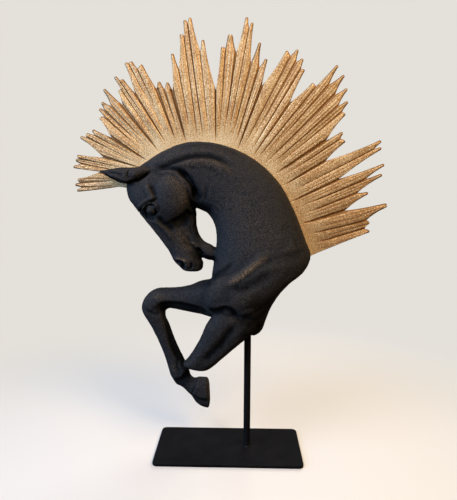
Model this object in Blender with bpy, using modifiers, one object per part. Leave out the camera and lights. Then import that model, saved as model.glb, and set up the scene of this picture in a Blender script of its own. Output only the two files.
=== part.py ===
"""Sunburst horse: a cast horse's forequarter with a gold fan of rays for its mane, on a rod and a plate.

Metres, +Z up. The origin is the middle of the plate's underside, and the horse looks along -X.
The figure and its fan are drawn in side view, as (x, z) pairs in drawing units, with the half widths
along Y in the same units. The seat, where the rod's axis meets the belly, ties the drawing to the stand.
"""

import math

import bmesh
import bpy
import numpy as np
from mathutils import Matrix, Vector

# The stand.
PLATE_WIDTH = 0.150
PLATE_DEPTH = 0.070
PLATE_THICKNESS = 0.003
PLATE_CORNER_RADIUS = 0.005
PLATE_EDGE_BEVEL = 0.0005
ROD_DIAMETER = 0.007
ROD_FROM_MIDDLE = 0.0192
ROD_CLEAR_LENGTH = 0.1207
ROD_SOCKET_DEPTH = 0.016

# The casting, measured from the hoof to the crest.
FIGURE_HEIGHT = 0.282

# The fan of rays.
MANE_ROOT_THICKNESS = 0.010
MANE_TIP_THICKNESS = 0.0036
MANE_EDGE_THICKNESS = 0.0020
MANE_GROOVE_DEPTH = 0.0018
MANE_SEAT_DEPTH = 0.005

# Touching pieces keep this gap.
FIT_GAP = 0.0003

# The drawing.
DRAWN_HEIGHT = 282.0
DRAWN_SEAT = (19.2, 124.0)
UNIT = FIGURE_HEIGHT / DRAWN_HEIGHT
PLATE_TOP = PLATE_THICKNESS
SEAT_HEIGHT = PLATE_TOP + FIT_GAP + ROD_CLEAR_LENGTH

# How finely the casting is skinned, and how far its skin leans sideways where the carving fades and where it
# is whole, as shares of a normal's length.
SKIN_VOXEL = 1.5 * UNIT
SKIN_SMOOTHING = 5
SKIN_TRIANGLES_KEPT = 0.05
SIDEWAYS_LEAST, SIDEWAYS_RANGE = 0.05, 0.4

# Sections of the trunk: crest or back point, throat or chest point, half width, middle along Y.
TRUNK = [
    (-92, 289, -70, 276, 11, 0),
    (-80, 297.5, -55, 272, 14, 0),
    (-62, 308.5, -42, 261, 16.5, 0),
    (-38, 316.3, -31.5, 252.8, 18, 0),
    (-8, 314, -21, 247.8, 19.5, 0),
    (22, 301.3, -14.4, 237, 21.5, 0),
    (46, 280.3, -12.3, 225, 24, 0),
    (61.6, 254.3, -13, 212, 27, 0),
    (75, 222, -15.3, 198, 30.5, 0),
    (80.3, 206.5, -17, 186, 32, 0),
    (74.3, 192, -18.5, 172, 32.5, 0),
    (61.3, 181, -17.5, 160, 32, 0),
    (50.3, 168.7, -12.5, 150.5, 31, 0),
    (42, 155, -3.5, 142.5, 29, 0),
    (37.5, 143, 6.5, 135.5, 25, 0),
    (34, 133, 15, 129.7, 19, 0),
    (28.3, 127, 21, 127, 11, 0),
]
# Head: forehead or nose point, jaw point, half width, middle along Y.
HEAD = [
    (-89.5, 289.5, -72, 291.5, 8, 0),
    (-97.3, 282, -58, 290, 13.5, 0),
    (-99.8, 273, -46, 280.5, 16.5, 0),
    (-97.8, 262.5, -40, 263, 18.5, 0),
    (-93, 255.2, -41, 249, 18.5, 0),
    (-86.5, 246.3, -42, 240.5, 16, 0),
    (-77.3, 234.6, -40.5, 229.5, 13.5, 0),
    (-67.3, 221.7, -35.5, 219.5, 12, 0),
    (-59.4, 210.3, -31, 211.3, 11.5, 0),
    (-55, 201.2, -27.5, 203.2, 12.5, 0),
    (-49.4, 195.4, -25.4, 197.3, 12, 0),
    (-44.6, 191, -27.2, 191.8, 9.5, 0),
    (-40, 190.4, -32, 190.2, 4, 0),
]
# Lower jaw, whose chin is tucked against the chest.
JAW = [
    (-62, 250, -38, 262, 14, 0),
    (-54, 238, -32.4, 250, 11.5, 0),
    (-47, 227, -32, 237, 9.5, 0),
    (-39.5, 217, -29.5, 227, 8.5, 0),
    (-32, 209.5, -24.5, 220, 8, 0),
    (-26.5, 204, -18.5, 217, 8, 0),
    (-20, 201.5, -13, 213.5, 7.5, 0),
    (-13, 201, -7, 210, 6, 0),
]
# Near ear, pricked forwards.
EAR = [
    (-74, 290.5, -77.5, 285.5, 3.5, -11),
    (-83, 292, -84.5, 281.5, 5.5, -12),
    (-92, 291, -93.5, 278.5, 6, -13),
    (-101.5, 291, -102.5, 279.5, 5.5, -13.5),
    (-111.5, 290, -112, 282.5, 4, -14),
    (-118, 289.8, -118.3, 286, 2.4, -14),
    (-121.8, 289.2, -121.8, 287.8, 1, -14),
]
# Near shoulder: from the withers down to the point of the shoulder, front edge and rear edge.
SHOULDER = [
    (58, 228, 68, 206, 5, -20),
    (40, 217, 56, 188, 9, -23),
    (20, 205, 42, 170, 11.5, -24.5),
    (3, 194, 26, 156, 13, -24.5),
    (-11, 187, 9, 150, 12.5, -23),
    (-20, 177, -8, 150, 11, -20),
    (-23.5, 168, -17, 154, 8, -18),
]
# Near forearm, cut off above the knee: front edge and rear edge.
NEAR_FOREARM = [
    (-16, 160, 33, 151, 13, -16),
    (-15, 151, 28.5, 138.5, 14.5, -19),
    (-21.6, 141, 18.3, 128.5, 14, -20),
    (-27, 128, 7.2, 119, 13, -20),
    (-33.5, 116, -4, 109, 12, -20.5),
    (-39.5, 107.3, -12, 102, 11, -21),
    (-44, 101.8, -18, 97, 9.5, -21),
    (-42.5, 99.5, -22, 95.4, 7.5, -21),
    (-37.5, 97, -27, 95.2, 4, -21),
]
# Far foreleg, raised and bent: outer edge and inner edge, from the chest to the hoof's coronet.
FAR_LEG = [
    (0, 176, -5, 140, 15, 13),
    (-15, 178, -15, 137.5, 16, 16),
    (-28, 176.5, -26, 140, 15, 18),
    (-40, 171.5, -40, 142.5, 13, 19),
    (-52, 168.8, -52, 144.5, 11.5, 19.5),
    (-64, 168, -62, 146, 10.5, 20),
    (-75.5, 167.3, -67, 143.5, 10.5, 20),
    (-84.3, 162.5, -67.5, 139.5, 10.5, 20),
    (-90.4, 154.7, -67, 137, 10.5, 20),
    (-92.5, 146, -66, 134, 10, 20),
    (-89, 137, -64, 130, 9, 20),
    (-83.5, 127.7, -61.6, 123, 8, 20),
    (-77.5, 115.2, -58, 112.5, 7.5, 20),
    (-71, 99.2, -52, 98.5, 7, 20),
    (-66.5, 85.2, -47, 88, 7.5, 20),
    (-63, 72.4, -43, 78, 8.5, 20),
    (-58, 63.6, -41.5, 72, 8.5, 20),
    (-50.5, 59.4, -39, 68.7, 8, 20),
    (-44.5, 53.2, -36.5, 67.5, 8.5, 20),
]
# Hoof, sole to the rear.
HOOF = [
    (-45.5, 54, -37.5, 66.5, 7.5, 20),
    (-40.8, 50, -34.5, 68.8, 9.5, 20),
    (-35.6, 42.6, -29.5, 68.7, 10.8, 20),
    (-28.8, 38, -25.2, 68.4, 11.6, 20),
    (-21.8, 36.4, -22.8, 67.4, 11.6, 20),
    (-20.8, 43, -21.5, 61.5, 8, 20),
]
# Round forms that stand out of the lofts: middle, half sizes, tilt about Y in degrees, flatness.
CHEEK = ((-56, 0, 264.5), (20.5, 21.5, 25.5), 0, 3.2)
BROW = ((-77.5, -15.2, 256.6), (8, 4.6, 3), -30, 2)
EYE = ((-74.9, -14.8, 251.2), (4.4, 4.6, 4.4), 0, 2)

# The carving that shows from a step away: route in side view, widths to its left and right, height, side.
# Left is above a route that runs to the right. A negative height is a hollow.
NEAR, BOTH, FAR = -1, 0, 1
CARVING = [
    # The crest's long hollow and the cord below it, and the pit of the throat.
    ([(-68, 291.5), (-50, 296), (-30, 301.3), (-8, 298), (2, 293)], 5.5, 3, -1.9, BOTH),
    ([(-52, 291.5), (-34, 296.7), (-14, 294.8), (4, 284)], 3, 7, 1.3, BOTH),
    ([(-33, 261.5), (-28, 260), (-24, 259)], 6, 6, -3.6, BOTH),
    # The cheek's crease, the undercut below it, and the groove and ridge down the face.
    ([(-68, 289), (-50, 289.7), (-39.5, 281.5), (-33, 268), (-33.5, 254)], 5.5, 3, -3.5, BOTH),
    ([(-31.5, 258), (-39.5, 247.5), (-48.5, 241), (-56, 241.5)], 3, 6, -5, BOTH),
    ([(-69, 246), (-59, 236.3), (-51, 229)], 3.5, 2.5, -1.8, BOTH),
    ([(-73, 243), (-59, 229), (-53, 221)], 3, 3.5, 0.9, BOTH),
    # Temple, brow and the socket of the eye.
    ([(-76.5, 277), (-73, 267.5), (-70, 260.5)], 2, 5.5, 1.6, BOTH),
    ([(-85.5, 250.3), (-77, 257.8), (-69, 261.3)], 2.2, 2.2, -1.8, BOTH),
    ([(-80, 250), (-76.7, 255.8), (-71.1, 255), (-69.3, 249.6), (-75, 245.8), (-80, 249)], 2, 2, -1.6, BOTH),
    # Nostril with its rim, the mouth, and the crease behind the ear.
    ([(-51, 201), (-46, 199), (-43, 195.5)], 2.6, 2.6, -2.8, BOTH),
    ([(-53, 203.8), (-44, 202.4), (-39, 200)], 2, 2.4, 1.2, BOTH),
    ([(-31, 213), (-27, 208), (-21, 206), (-14, 204.5)], 3, 3, -2.6, BOTH),
    ([(-99, 277), (-84, 281), (-69, 290)], 2.6, 2.6, -2.8, BOTH),
    # Breast, the blade's ridge with the hollow under it, and the swell below.
    ([(-12, 190), (-2, 197), (5, 206)], 2.4, 3.4, -1.6, BOTH),
    ([(3.5, 187), (-1, 176), (-1, 164)], 9, 2.6, -2, BOTH),
    ([(3, 185), (13, 193.5), (24.5, 200.5), (35, 207.5)], 7, 3, 2.4, BOTH),
    ([(5, 182), (19, 189.5), (34, 198.5)], 4.5, 10, -2.8, BOTH),
    ([(8, 165), (25, 172)], 9, 9, 1.8, BOTH),
    ([(9, 150.5), (24, 158), (31, 165)], 3, 8, -2, NEAR),
    ([(33, 206.5), (58, 211), (71, 212.5)], 3, 9, -1.1, BOTH),
    # The forearm's crease and the hollow down it, and the pit at the girth.
    ([(-22, 157), (-8, 158.2), (1, 160), (9, 153.5)], 2.8, 4, -3.2, NEAR),
    ([(9, 143), (-3, 130), (-17, 113.5), (-26, 102.5)], 3.2, 4.5, -2.8, NEAR),
    ([(17, 147), (31, 139)], 6, 6, -2.6, NEAR),
    # The plane breaks of the far leg, its fetlock and its hoof.
    ([(-76, 149), (-63, 156.2), (-27, 155.5)], 2.4, 6, -1.9, FAR),
    ([(-70, 149), (-63.5, 120), (-51, 87)], 5, 2.4, -1.8, FAR),
    ([(-59, 69), (-47, 73.5), (-42, 85)], 2.6, 3.2, -2, FAR),
    ([(-39, 53.5), (-21, 48.5)], 2, 7, -1.3, FAR),
]

# The line where black meets gold, from the forehead over the poll and the crest to the withers.
ROOT_LINE = [
    (-102, 273.5),
    (-95, 287),
    (-80, 297.5),
    (-60, 309.3),
    (-40, 315.8),
    (-20, 316.5),
    (0, 311.3),
    (20, 302.3),
    (40, 287.5),
    (55, 269),
    (65, 248.5),
    (76, 221.5),
    (82, 207),
]
# The fan's tufts, clockwise. Each has the place of its first edge along the root line, from 0 to 1, the notch
# before it, and its tips with the notches between them. The last row only closes the fan.
TUFTS = [
    (0.00, (-103, 273.8), [(-149.5, 269.3), (-144, 272), (-151, 274.8), (-146, 277), (-148.5, 279.6)]),
    (0.05, (-125, 287.4), [(-152, 292.3), (-144.5, 295), (-149.5, 298.6), (-145.5, 300.6), (-148, 302.6)]),
    (0.11, (-121.5, 301.2), [(-144, 320.6), (-137.5, 320.5), (-138, 323.6), (-129.5, 322.3), (-132, 327)]),
    (0.145, (-113, 319.8), [(-124.3, 339), (-119.5, 339.5), (-124.5, 347), (-119.5, 345.5), (-122, 353),
                           (-112.5, 349.3), (-119.5, 365)]),
    (0.195, (-101.3, 350), [(-105, 364.3), (-102.5, 364.5), (-108.5, 376.5), (-103.8, 373), (-102, 374)]),
    (0.235, (-89.3, 360.5), [(-98, 389), (-95, 388), (-93, 390), (-86.5, 383), (-83.5, 387.3)]),
    (0.265, (-69, 364.8), [(-67, 372), (-61.5, 364.5), (-59, 371.3)]),
    (0.30, (-53.5, 363.3), [(-53.8, 397), (-47.5, 382.5), (-45, 414.3), (-42.3, 411), (-41.8, 426.6),
                            (-39, 423.5), (-36.8, 428.6), (-27.5, 398.5), (-25, 409)]),
    (0.415, (-12.8, 363.5), [(-6.5, 403), (-4, 401), (0.8, 414), (6.3, 397), (16, 428.6), (18, 418.5),
                            (21, 424), (19.8, 388), (28.3, 406.4), (27.8, 384), (34.5, 392)]),
    (0.495, (30.5, 367.5), [(54, 399), (56.5, 394.2), (63.5, 400), (62, 388.5), (68.3, 392), (66.5, 381.7),
                           (69.8, 382.6)]),
    (0.555, (57, 352.3), [(79, 370), (81, 366.8), (101, 386), (93.3, 368.5), (107.2, 377), (99, 359.3),
                         (110.5, 365), (102.5, 349.3), (111.6, 353.3), (106, 343.3), (109.6, 342.4)]),
    (0.655, (92, 317.3), [(108, 325), (105.5, 319), (110.5, 317.4)]),
    (0.71, (92, 298), [(144.6, 317), (138, 309.5), (145, 310.6)]),
    (0.78, (105, 281), [(148.6, 295), (131, 281), (147, 285.5), (123.5, 268), (134.6, 268.2)]),
    (0.87, (112, 250.6), [(153.5, 256.6), (133.5, 241.8), (137.2, 239.6), (132, 233.6), (137.6, 231.3)]),
    (1.00, (84.5, 208.6), []),
]
# Width of the blunt tips, in drawing units, and how far their sides bend in, from 0 to 1.
TIP_WIDTH = 1.8
TIP_HOLLOW = 0.7
# The tips are drawn to where their highlight ends, which is this much past the casting.
TIP_GLARE = 0.6
BLUNT_TIPS = {(0.8, 414): 5.0, (-45, 414.3): 3.6, (-6.5, 403): 3.4, (153.5, 256.6): 4.4}
LONGEST_RAY = 112 * UNIT

# How the fan is meshed: rows from the root to the notches, rows along each free end, each lath's shoulder,
# and the samples of the root line.
INNER_ROWS = (0, 0.25, 1)
TIP_ROWS = (0.55, 1)
SHOULDER_SHARE = 0.22
ROOT_SAMPLES = 400
# The slot's cutter: its sections, and how far it stands clear of the crest and runs out at its ends.
SLOT_SECTIONS = 40
SLOT_RISE, SLOT_RUN_OUT = 6 * UNIT, 2 * UNIT


def clear_scene():
    """An empty scene, with one collection for the object and one for the cutters."""
    for old in list(bpy.data.objects):
        bpy.data.objects.remove(old, do_unlink=True)
    made = []
    for name in ("sunburst horse sculpture", "cutters"):
        collection = bpy.data.collections.new(name)
        bpy.context.scene.collection.children.link(collection)
        made.append(collection)
    return made


def finish(name, colour, roughness, metallic):
    """A Principled material."""
    material = bpy.data.materials.new(name)
    material.use_nodes = True
    shader = material.node_tree.nodes["Principled BSDF"]
    shader.inputs["Base Color"].default_value = (*colour, 1)
    shader.inputs["Roughness"].default_value = roughness
    shader.inputs["Metallic"].default_value = metallic
    return material


def new_object(name, mesh, collection, material=None):
    made = bpy.data.objects.new(name, mesh)
    collection.objects.link(made)
    if material:
        mesh.materials.append(material)
    return made


def mesh_of(shape, name):
    """The bmesh as a mesh of its own, with its faces pointing out."""
    bmesh.ops.recalc_face_normals(shape, faces=shape.faces)
    mesh = bpy.data.meshes.new(name)
    shape.to_mesh(mesh)
    shape.free()
    return mesh


def as_cutter(cutter):
    cutter.hide_render = True
    cutter.display_type = "WIRE"
    return cutter


def cut(target, cutter):
    boolean = target.modifiers.new("Cut by " + cutter.name, "BOOLEAN")
    boolean.operation = "DIFFERENCE"
    boolean.object = cutter


def placed(x, y, z):
    """A point of the drawing in metres."""
    return (
        ROD_FROM_MIDDLE + (x - DRAWN_SEAT[0]) * UNIT,
        y * UNIT,
        SEAT_HEIGHT + (z - DRAWN_SEAT[1]) * UNIT,
    )


def filled(rows, steps):
    """The rows with a smooth curve drawn through them, steps to each gap."""
    rows = np.array(rows, float)
    ends = np.vstack([2 * rows[0] - rows[1], rows, 2 * rows[-1] - rows[-2]])
    out = []
    for before, start, stop, after in zip(ends, ends[1:], ends[2:], ends[3:]):
        for t in np.arange(steps) / steps:
            straight = start + (stop - before) * t / 2
            curved = (2 * before - 5 * start + 4 * stop - after) * t**2 / 2
            out.append(straight + curved + (3 * start - before - 3 * stop + after) * t**3 / 2)
    out.append(rows[-1])
    return np.array(out)


def ring(row, sides, fullness):
    """A section across the drawing: an ellipse, or a fuller one, between the row's two points."""
    first, last = np.array(row[0:2]), np.array(row[2:4])
    middle, reach = (first + last) / 2, (first - last) / 2
    points = []
    for turn in np.linspace(0, 2 * math.pi, sides, endpoint=False):
        along = math.copysign(abs(math.cos(turn)) ** (2 / fullness), math.cos(turn))
        across = math.copysign(abs(math.sin(turn)) ** (2 / fullness), math.sin(turn))
        x, z = middle + reach * along
        points.append(placed(x, row[5] + row[4] * across, z))
    return points


def add_loft(shape, rows, fullness=2.2, sides=28, steps=4, mirrored=False):
    """A closed skin through the sections, and its mirror image on the far side."""
    for side in (1, -1) if mirrored else (1,):
        rings = []
        for row in filled(rows, steps):
            section = [(x, side * y, z) for x, y, z in ring(row, sides, fullness)]
            rings.append([shape.verts.new(point) for point in section])
        for here, there in zip(rings, rings[1:]):
            for i in range(sides):
                j = (i + 1) % sides
                shape.faces.new((here[i], here[j], there[j], there[i]))
        shape.faces.new(rings[0])
        shape.faces.new(rings[-1])


def add_round(shape, form, mirrored=False):
    """A sphere stretched to its half sizes, with its two Y faces flattened, and its mirror image."""
    middle, sizes, tilt, flatness = form
    turn = Matrix.Rotation(math.radians(tilt), 3, "Y")
    for side in (1, -1) if mirrored else (1,):
        ball = bmesh.ops.create_uvsphere(shape, u_segments=28, v_segments=18, radius=1)
        for vertex in ball["verts"]:
            x, y, z = vertex.co
            y = math.copysign(abs(y) ** (2 / flatness), y)
            local = turn @ Vector((x * sizes[0], y * sizes[1], z * sizes[2]))
            vertex.co = placed(middle[0] + local.x, side * (middle[1] + local.y), middle[2] + local.z)


def read_vectors(mesh, name):
    """The mesh's vertex positions or normals, a row for each."""
    values = np.empty(len(mesh.vertices) * 3)
    mesh.vertices.foreach_get(name, values)
    return values.reshape(-1, 3)


def carve(mesh, route, left, right, height, side):
    """Presses the skin in, or lifts it out, along a route drawn in side view.

    The skin moves along its normals, and only where they lean sideways.
    """
    points, normals = read_vectors(mesh, "co"), read_vectors(mesh, "normal")
    line = np.array([placed(x, 0, z) for x, z in filled(route, 4)])[:, [0, 2]]
    flat = points[:, [0, 2]]
    nearest = np.full(len(flat), np.inf)
    width = np.full(len(flat), left * UNIT)
    for start, stop in zip(line, line[1:]):
        run = stop - start
        away = flat - start
        share = np.clip(away @ run / (run @ run), 0, 1)
        distance = np.linalg.norm(away - share[:, None] * run, axis=1)
        closer = distance < nearest
        nearest[closer] = distance[closer]
        on_left = away @ np.array([-run[1], run[0]]) > 0
        width[closer] = np.where(on_left, left, right)[closer] * UNIT
    push = np.clip(1 - (nearest / width) ** 2, 0, 1) ** 2 * height * UNIT
    push *= np.clip((np.abs(normals[:, 1]) - SIDEWAYS_LEAST) / SIDEWAYS_RANGE, 0, 1)
    if side:
        push[points[:, 1] * side < 0] = 0
    mesh.vertices.foreach_set("co", (points + normals * push[:, None]).ravel())
    mesh.update()


def horse(parts, cutters):
    """The casting: forms under one skin, carved, with a slot for the fan and a hole for the rod."""
    shape = bmesh.new()
    add_loft(shape, TRUNK, fullness=2.3)
    add_loft(shape, HEAD, fullness=2.5)
    add_loft(shape, JAW, fullness=2.4)
    add_loft(shape, EAR, mirrored=True)
    add_loft(shape, SHOULDER, mirrored=True)
    add_loft(shape, NEAR_FOREARM, fullness=2.4)
    add_loft(shape, FAR_LEG, fullness=2.3)
    add_loft(shape, HOOF, fullness=2.6)
    add_round(shape, CHEEK)
    add_round(shape, BROW, mirrored=True)
    add_round(shape, EYE, mirrored=True)
    forms = as_cutter(new_object("horse_forms", mesh_of(shape, "horse forms"), cutters))
    remesh = forms.modifiers.new("One skin", "REMESH")
    remesh.mode = "VOXEL"
    remesh.voxel_size = SKIN_VOXEL
    soften = forms.modifiers.new("Soften the joins", "SMOOTH")
    soften.iterations = SKIN_SMOOTHING
    graph = bpy.context.evaluated_depsgraph_get()
    skin = bpy.data.meshes.new_from_object(forms.evaluated_get(graph))
    skin.name = "horse"
    for row in CARVING:
        carve(skin, *row)
    bpy.data.objects.remove(forms)
    skin.shade_smooth()
    casting = new_object("horse", skin, parts, finish("black cast resin", (0.022, 0.023, 0.025), 0.62, 0.0))
    thin = casting.modifiers.new("Thin the skin", "DECIMATE")
    thin.ratio = SKIN_TRIANGLES_KEPT
    cut(casting, mane_slot(cutters))
    cut(casting, rod_socket(cutters))
    return casting


def root_points(inset, count):
    """The root line in metres, moved into the neck by the inset, as points with their outward directions."""
    line = np.array([placed(x, 0, z) for x, z in filled(ROOT_LINE, 12)])[:, [0, 2]]
    lengths = np.concatenate([[0], np.cumsum(np.linalg.norm(np.diff(line, axis=0), axis=1))])
    shares = np.linspace(0, 1, count)
    points = np.column_stack([np.interp(shares, lengths / lengths[-1], line[:, i]) for i in (0, 1)])
    along = np.gradient(points, axis=0)
    along /= np.linalg.norm(along, axis=1)[:, None]
    outward = np.column_stack([-along[:, 1], along[:, 0]])
    return points - outward * inset, outward


def mane_slot(cutters):
    """The slot along the crest: the fan's root with the fit gap all round."""
    bottom, outward = root_points(MANE_SEAT_DEPTH + FIT_GAP, SLOT_SECTIONS)
    top = bottom + outward * (MANE_SEAT_DEPTH + SLOT_RISE)
    for edge in (bottom, top):
        edge[0] -= (edge[1] - edge[0]) * SLOT_RUN_OUT / np.linalg.norm(edge[1] - edge[0])
        edge[-1] += (edge[-1] - edge[-2]) * SLOT_RUN_OUT / np.linalg.norm(edge[-1] - edge[-2])
    half = MANE_ROOT_THICKNESS / 2 + FIT_GAP
    shape = bmesh.new()
    sections = []
    for low, high in zip(bottom, top):
        corners = ((low, -half), (high, -half), (high, half), (low, half))
        sections.append([shape.verts.new((point[0], y, point[1])) for point, y in corners])
    for here, there in zip(sections, sections[1:]):
        for i in range(4):
            j = (i + 1) % 4
            shape.faces.new((here[i], here[j], there[j], there[i]))
    shape.faces.new(sections[0])
    shape.faces.new(sections[-1])
    return as_cutter(new_object("mane_slot", mesh_of(shape, "mane slot"), cutters))


def rod_socket(cutters):
    """The blind hole in the belly: the rod's end with the fit gap round it and over it."""
    top = SEAT_HEIGHT + ROD_SOCKET_DEPTH + FIT_GAP
    bottom = SEAT_HEIGHT - ROD_SOCKET_DEPTH
    shape = bmesh.new()
    radius = ROD_DIAMETER / 2 + FIT_GAP
    bmesh.ops.create_cone(
        shape, cap_ends=True, segments=32, radius1=radius, radius2=radius, depth=top - bottom
    )
    socket = as_cutter(new_object("rod_socket", mesh_of(shape, "rod socket"), cutters))
    socket.location = (ROD_FROM_MIDDLE, 0, (top + bottom) / 2)
    return socket


def lath_table():
    """The fan's edges and tips: an edge runs from a root to a notch, and a tip stands between two edges."""
    edges, tips = [], []
    for (root, notch, outline), following in zip(TUFTS, TUFTS[1:]):
        laths = (len(outline) + 1) // 2
        step = (following[0] - root) / laths
        for i in range(laths):
            edges.append((root + step * i, notch if i == 0 else outline[2 * i - 1]))
            tips.append(outline[2 * i])
    edges.append(TUFTS[-1][:2])
    return edges, tips


def bent(start, knee, stop, share):
    """A point on the smooth bend from start to stop that leans towards the knee."""
    return (1 - share) ** 2 * start + 2 * share * (1 - share) * knee + share**2 * stop


def tip_side(notch, tip, direction, offset, shares):
    """The side of a ray's free end, nearly straight, from its notch to one corner of its tip."""
    normal = np.array([-direction[1], direction[0]])
    corner = tip + normal * offset
    along = corner - direction * ((corner - notch) @ direction) / 2
    knee = (notch + corner) / 2 * (1 - TIP_HOLLOW) + along * TIP_HOLLOW
    return [bent(notch, knee, corner, share) for share in shares]


def mane(parts):
    """The fan: one ridged sheet of laths, closed round its outline and mirrored to the far side."""
    edges, tips = lath_table()
    across = (0, SHOULDER_SHARE, 1 - SHOULDER_SHARE, 1)
    half_root, half_tip = MANE_ROOT_THICKNESS / 2, MANE_TIP_THICKNESS / 2
    half_edge = MANE_EDGE_THICKNESS / 2
    roots, _ = root_points(MANE_SEAT_DEPTH, ROOT_SAMPLES)
    crest, _ = root_points(0, ROOT_SAMPLES)
    grooves = []
    for root, notch in edges:
        start = roots[int(round(root * (len(roots) - 1)))]
        stop = np.array(placed(notch[0], 0, notch[1]))[[0, 2]]
        grooves.append([start + (stop - start) * share for share in INNER_ROWS])
    shape = bmesh.new()

    def half_thickness(point, share, row):
        """Half the fan's thickness, thinner towards the tips and in the grooves."""
        distance = np.min(np.linalg.norm(crest - point, axis=1)) / LONGEST_RAY
        half = half_root + (half_tip - half_root) * min(distance, 1)
        if row == 0:
            return half_root
        groove = MANE_GROOVE_DEPTH * min(1, (row + 1) / len(INNER_ROWS))
        return max(half - groove, half_edge) if share in (0, 1) else half

    def vertex(point, share, row):
        return shape.verts.new((point[0], -half_thickness(point, share, row), point[1]))

    shared = [
        [vertex(point, 0, row) for row, point in enumerate(groove)] for groove in grooves
    ]
    for k, tip in enumerate(tips):
        left, right = grooves[k], grooves[k + 1]
        top = np.array(placed(tip[0], 0, tip[1]))[[0, 2]]
        direction = top - (left[0] + right[0]) / 2
        direction /= np.linalg.norm(direction)
        top -= direction * TIP_GLARE * UNIT
        half_width = BLUNT_TIPS.get(tip, TIP_WIDTH) / 2 * UNIT
        near = list(left) + tip_side(left[-1], top, direction, half_width, TIP_ROWS)
        far = list(right) + tip_side(right[-1], top, direction, -half_width, TIP_ROWS)
        grid = []
        for row, (start, stop) in enumerate(zip(near, far)):
            line = []
            for share in across:
                if row < len(INNER_ROWS) and share in (0, 1):
                    line.append(shared[k + int(share)][row])
                else:
                    line.append(vertex(start + (stop - start) * share, share, row))
            grid.append(line)
        for here, there in zip(grid, grid[1:]):
            for i in range(len(across) - 1):
                shape.faces.new((here[i], here[i + 1], there[i + 1], there[i]))
    rim = [edge for edge in shape.edges if len(edge.link_faces) == 1]
    walls = bmesh.ops.extrude_edge_only(shape, edges=rim)
    for item in walls["geom"]:
        if isinstance(item, bmesh.types.BMVert):
            item.co.y = 0
    fan = new_object("sunburst_mane", mesh_of(shape, "sunburst mane"), parts,
                     finish("antique gold", (0.56, 0.36, 0.15), 0.5, 0.35))
    mirror = fan.modifiers.new("Far side", "MIRROR")
    mirror.use_axis = (False, True, False)
    mirror.merge_threshold = 0.00001
    return fan


def rod(parts, material):
    """The rod, from the plate's top face into the casting's blind hole."""
    bottom, top = PLATE_TOP + FIT_GAP, SEAT_HEIGHT + ROD_SOCKET_DEPTH
    shape = bmesh.new()
    bmesh.ops.create_cone(
        shape, cap_ends=True, segments=32, radius1=ROD_DIAMETER / 2, radius2=ROD_DIAMETER / 2,
        depth=top - bottom,
    )
    bar = new_object("stand_rod", mesh_of(shape, "stand rod"), parts, material)
    bar.location = (ROD_FROM_MIDDLE, 0, (bottom + top) / 2)
    bar.data.set_sharp_from_angle(angle=math.radians(40))
    return bar


def plate(parts, material):
    """The plate, with rounded corners and softly broken edges."""
    shape = bmesh.new()
    size = Matrix.Diagonal((PLATE_WIDTH, PLATE_DEPTH, PLATE_THICKNESS, 1))
    bmesh.ops.create_cube(shape, size=1, matrix=size)
    weights = shape.edges.layers.float.new("bevel_weight_edge")
    for edge in shape.edges:
        upright = abs(edge.verts[0].co.z - edge.verts[1].co.z) > PLATE_THICKNESS / 2
        edge[weights] = 1.0 if upright else 0.0
    base = new_object("base_plate", mesh_of(shape, "base plate"), parts, material)
    base.location = (0, 0, PLATE_THICKNESS / 2)
    corners = base.modifiers.new("Corners", "BEVEL")
    corners.limit_method = "WEIGHT"
    corners.width = PLATE_CORNER_RADIUS
    corners.segments = 6
    rims = base.modifiers.new("Rims", "BEVEL")
    rims.limit_method = "ANGLE"
    rims.angle_limit = math.radians(60)
    rims.width = PLATE_EDGE_BEVEL
    rims.segments = 2
    return base


def build():
    parts, cutters = clear_scene()
    steel = finish("black powder coated steel", (0.012, 0.012, 0.013), 0.45, 0.0)
    plate(parts, steel)
    rod(parts, steel)
    horse(parts, cutters)
    mane(parts)


build()
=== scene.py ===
import math

import bmesh
import bpy
import numpy as np
from mathutils import Matrix, Vector, noise


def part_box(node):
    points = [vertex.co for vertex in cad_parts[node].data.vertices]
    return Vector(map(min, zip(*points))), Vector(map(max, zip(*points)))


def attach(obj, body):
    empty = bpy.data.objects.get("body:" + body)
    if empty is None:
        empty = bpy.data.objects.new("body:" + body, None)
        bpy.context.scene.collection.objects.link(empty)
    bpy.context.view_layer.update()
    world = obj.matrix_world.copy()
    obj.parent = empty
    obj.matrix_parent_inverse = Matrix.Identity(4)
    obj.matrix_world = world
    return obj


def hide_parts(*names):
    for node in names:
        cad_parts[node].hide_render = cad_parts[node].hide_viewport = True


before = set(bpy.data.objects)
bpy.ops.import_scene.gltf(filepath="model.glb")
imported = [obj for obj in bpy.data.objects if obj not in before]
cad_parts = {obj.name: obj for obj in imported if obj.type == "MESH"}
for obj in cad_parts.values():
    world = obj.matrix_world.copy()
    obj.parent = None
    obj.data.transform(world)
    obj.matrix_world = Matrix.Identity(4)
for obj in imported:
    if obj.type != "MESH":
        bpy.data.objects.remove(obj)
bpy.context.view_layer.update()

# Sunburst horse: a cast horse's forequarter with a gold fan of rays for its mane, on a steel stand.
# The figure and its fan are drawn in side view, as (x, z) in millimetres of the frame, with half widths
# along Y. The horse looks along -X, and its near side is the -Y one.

# The stand: a laser-cut mild steel plate with a round bar welded to it, powder coated black together.
# Baked powder gives the eye a satin black with a faint orange peel. Handling left dull smears and a dust
# that is drawn coarser than real dust, so that it shows.
MM = 0.001
COAT_BLACK, COAT_SMEAR, COAT_DUST = "#0f0f12", "#151416", "#322f2d"
SMEAR_WIDTH, DUST_WIDTH = 16 * MM, 1.1 * MM
PEEL_WIDTH, PEEL_HEIGHT = 0.9 * MM, 0.05 * MM
# Edges over this angle, in degrees, stay crisp.
STEEL_CRISP = 35


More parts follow.
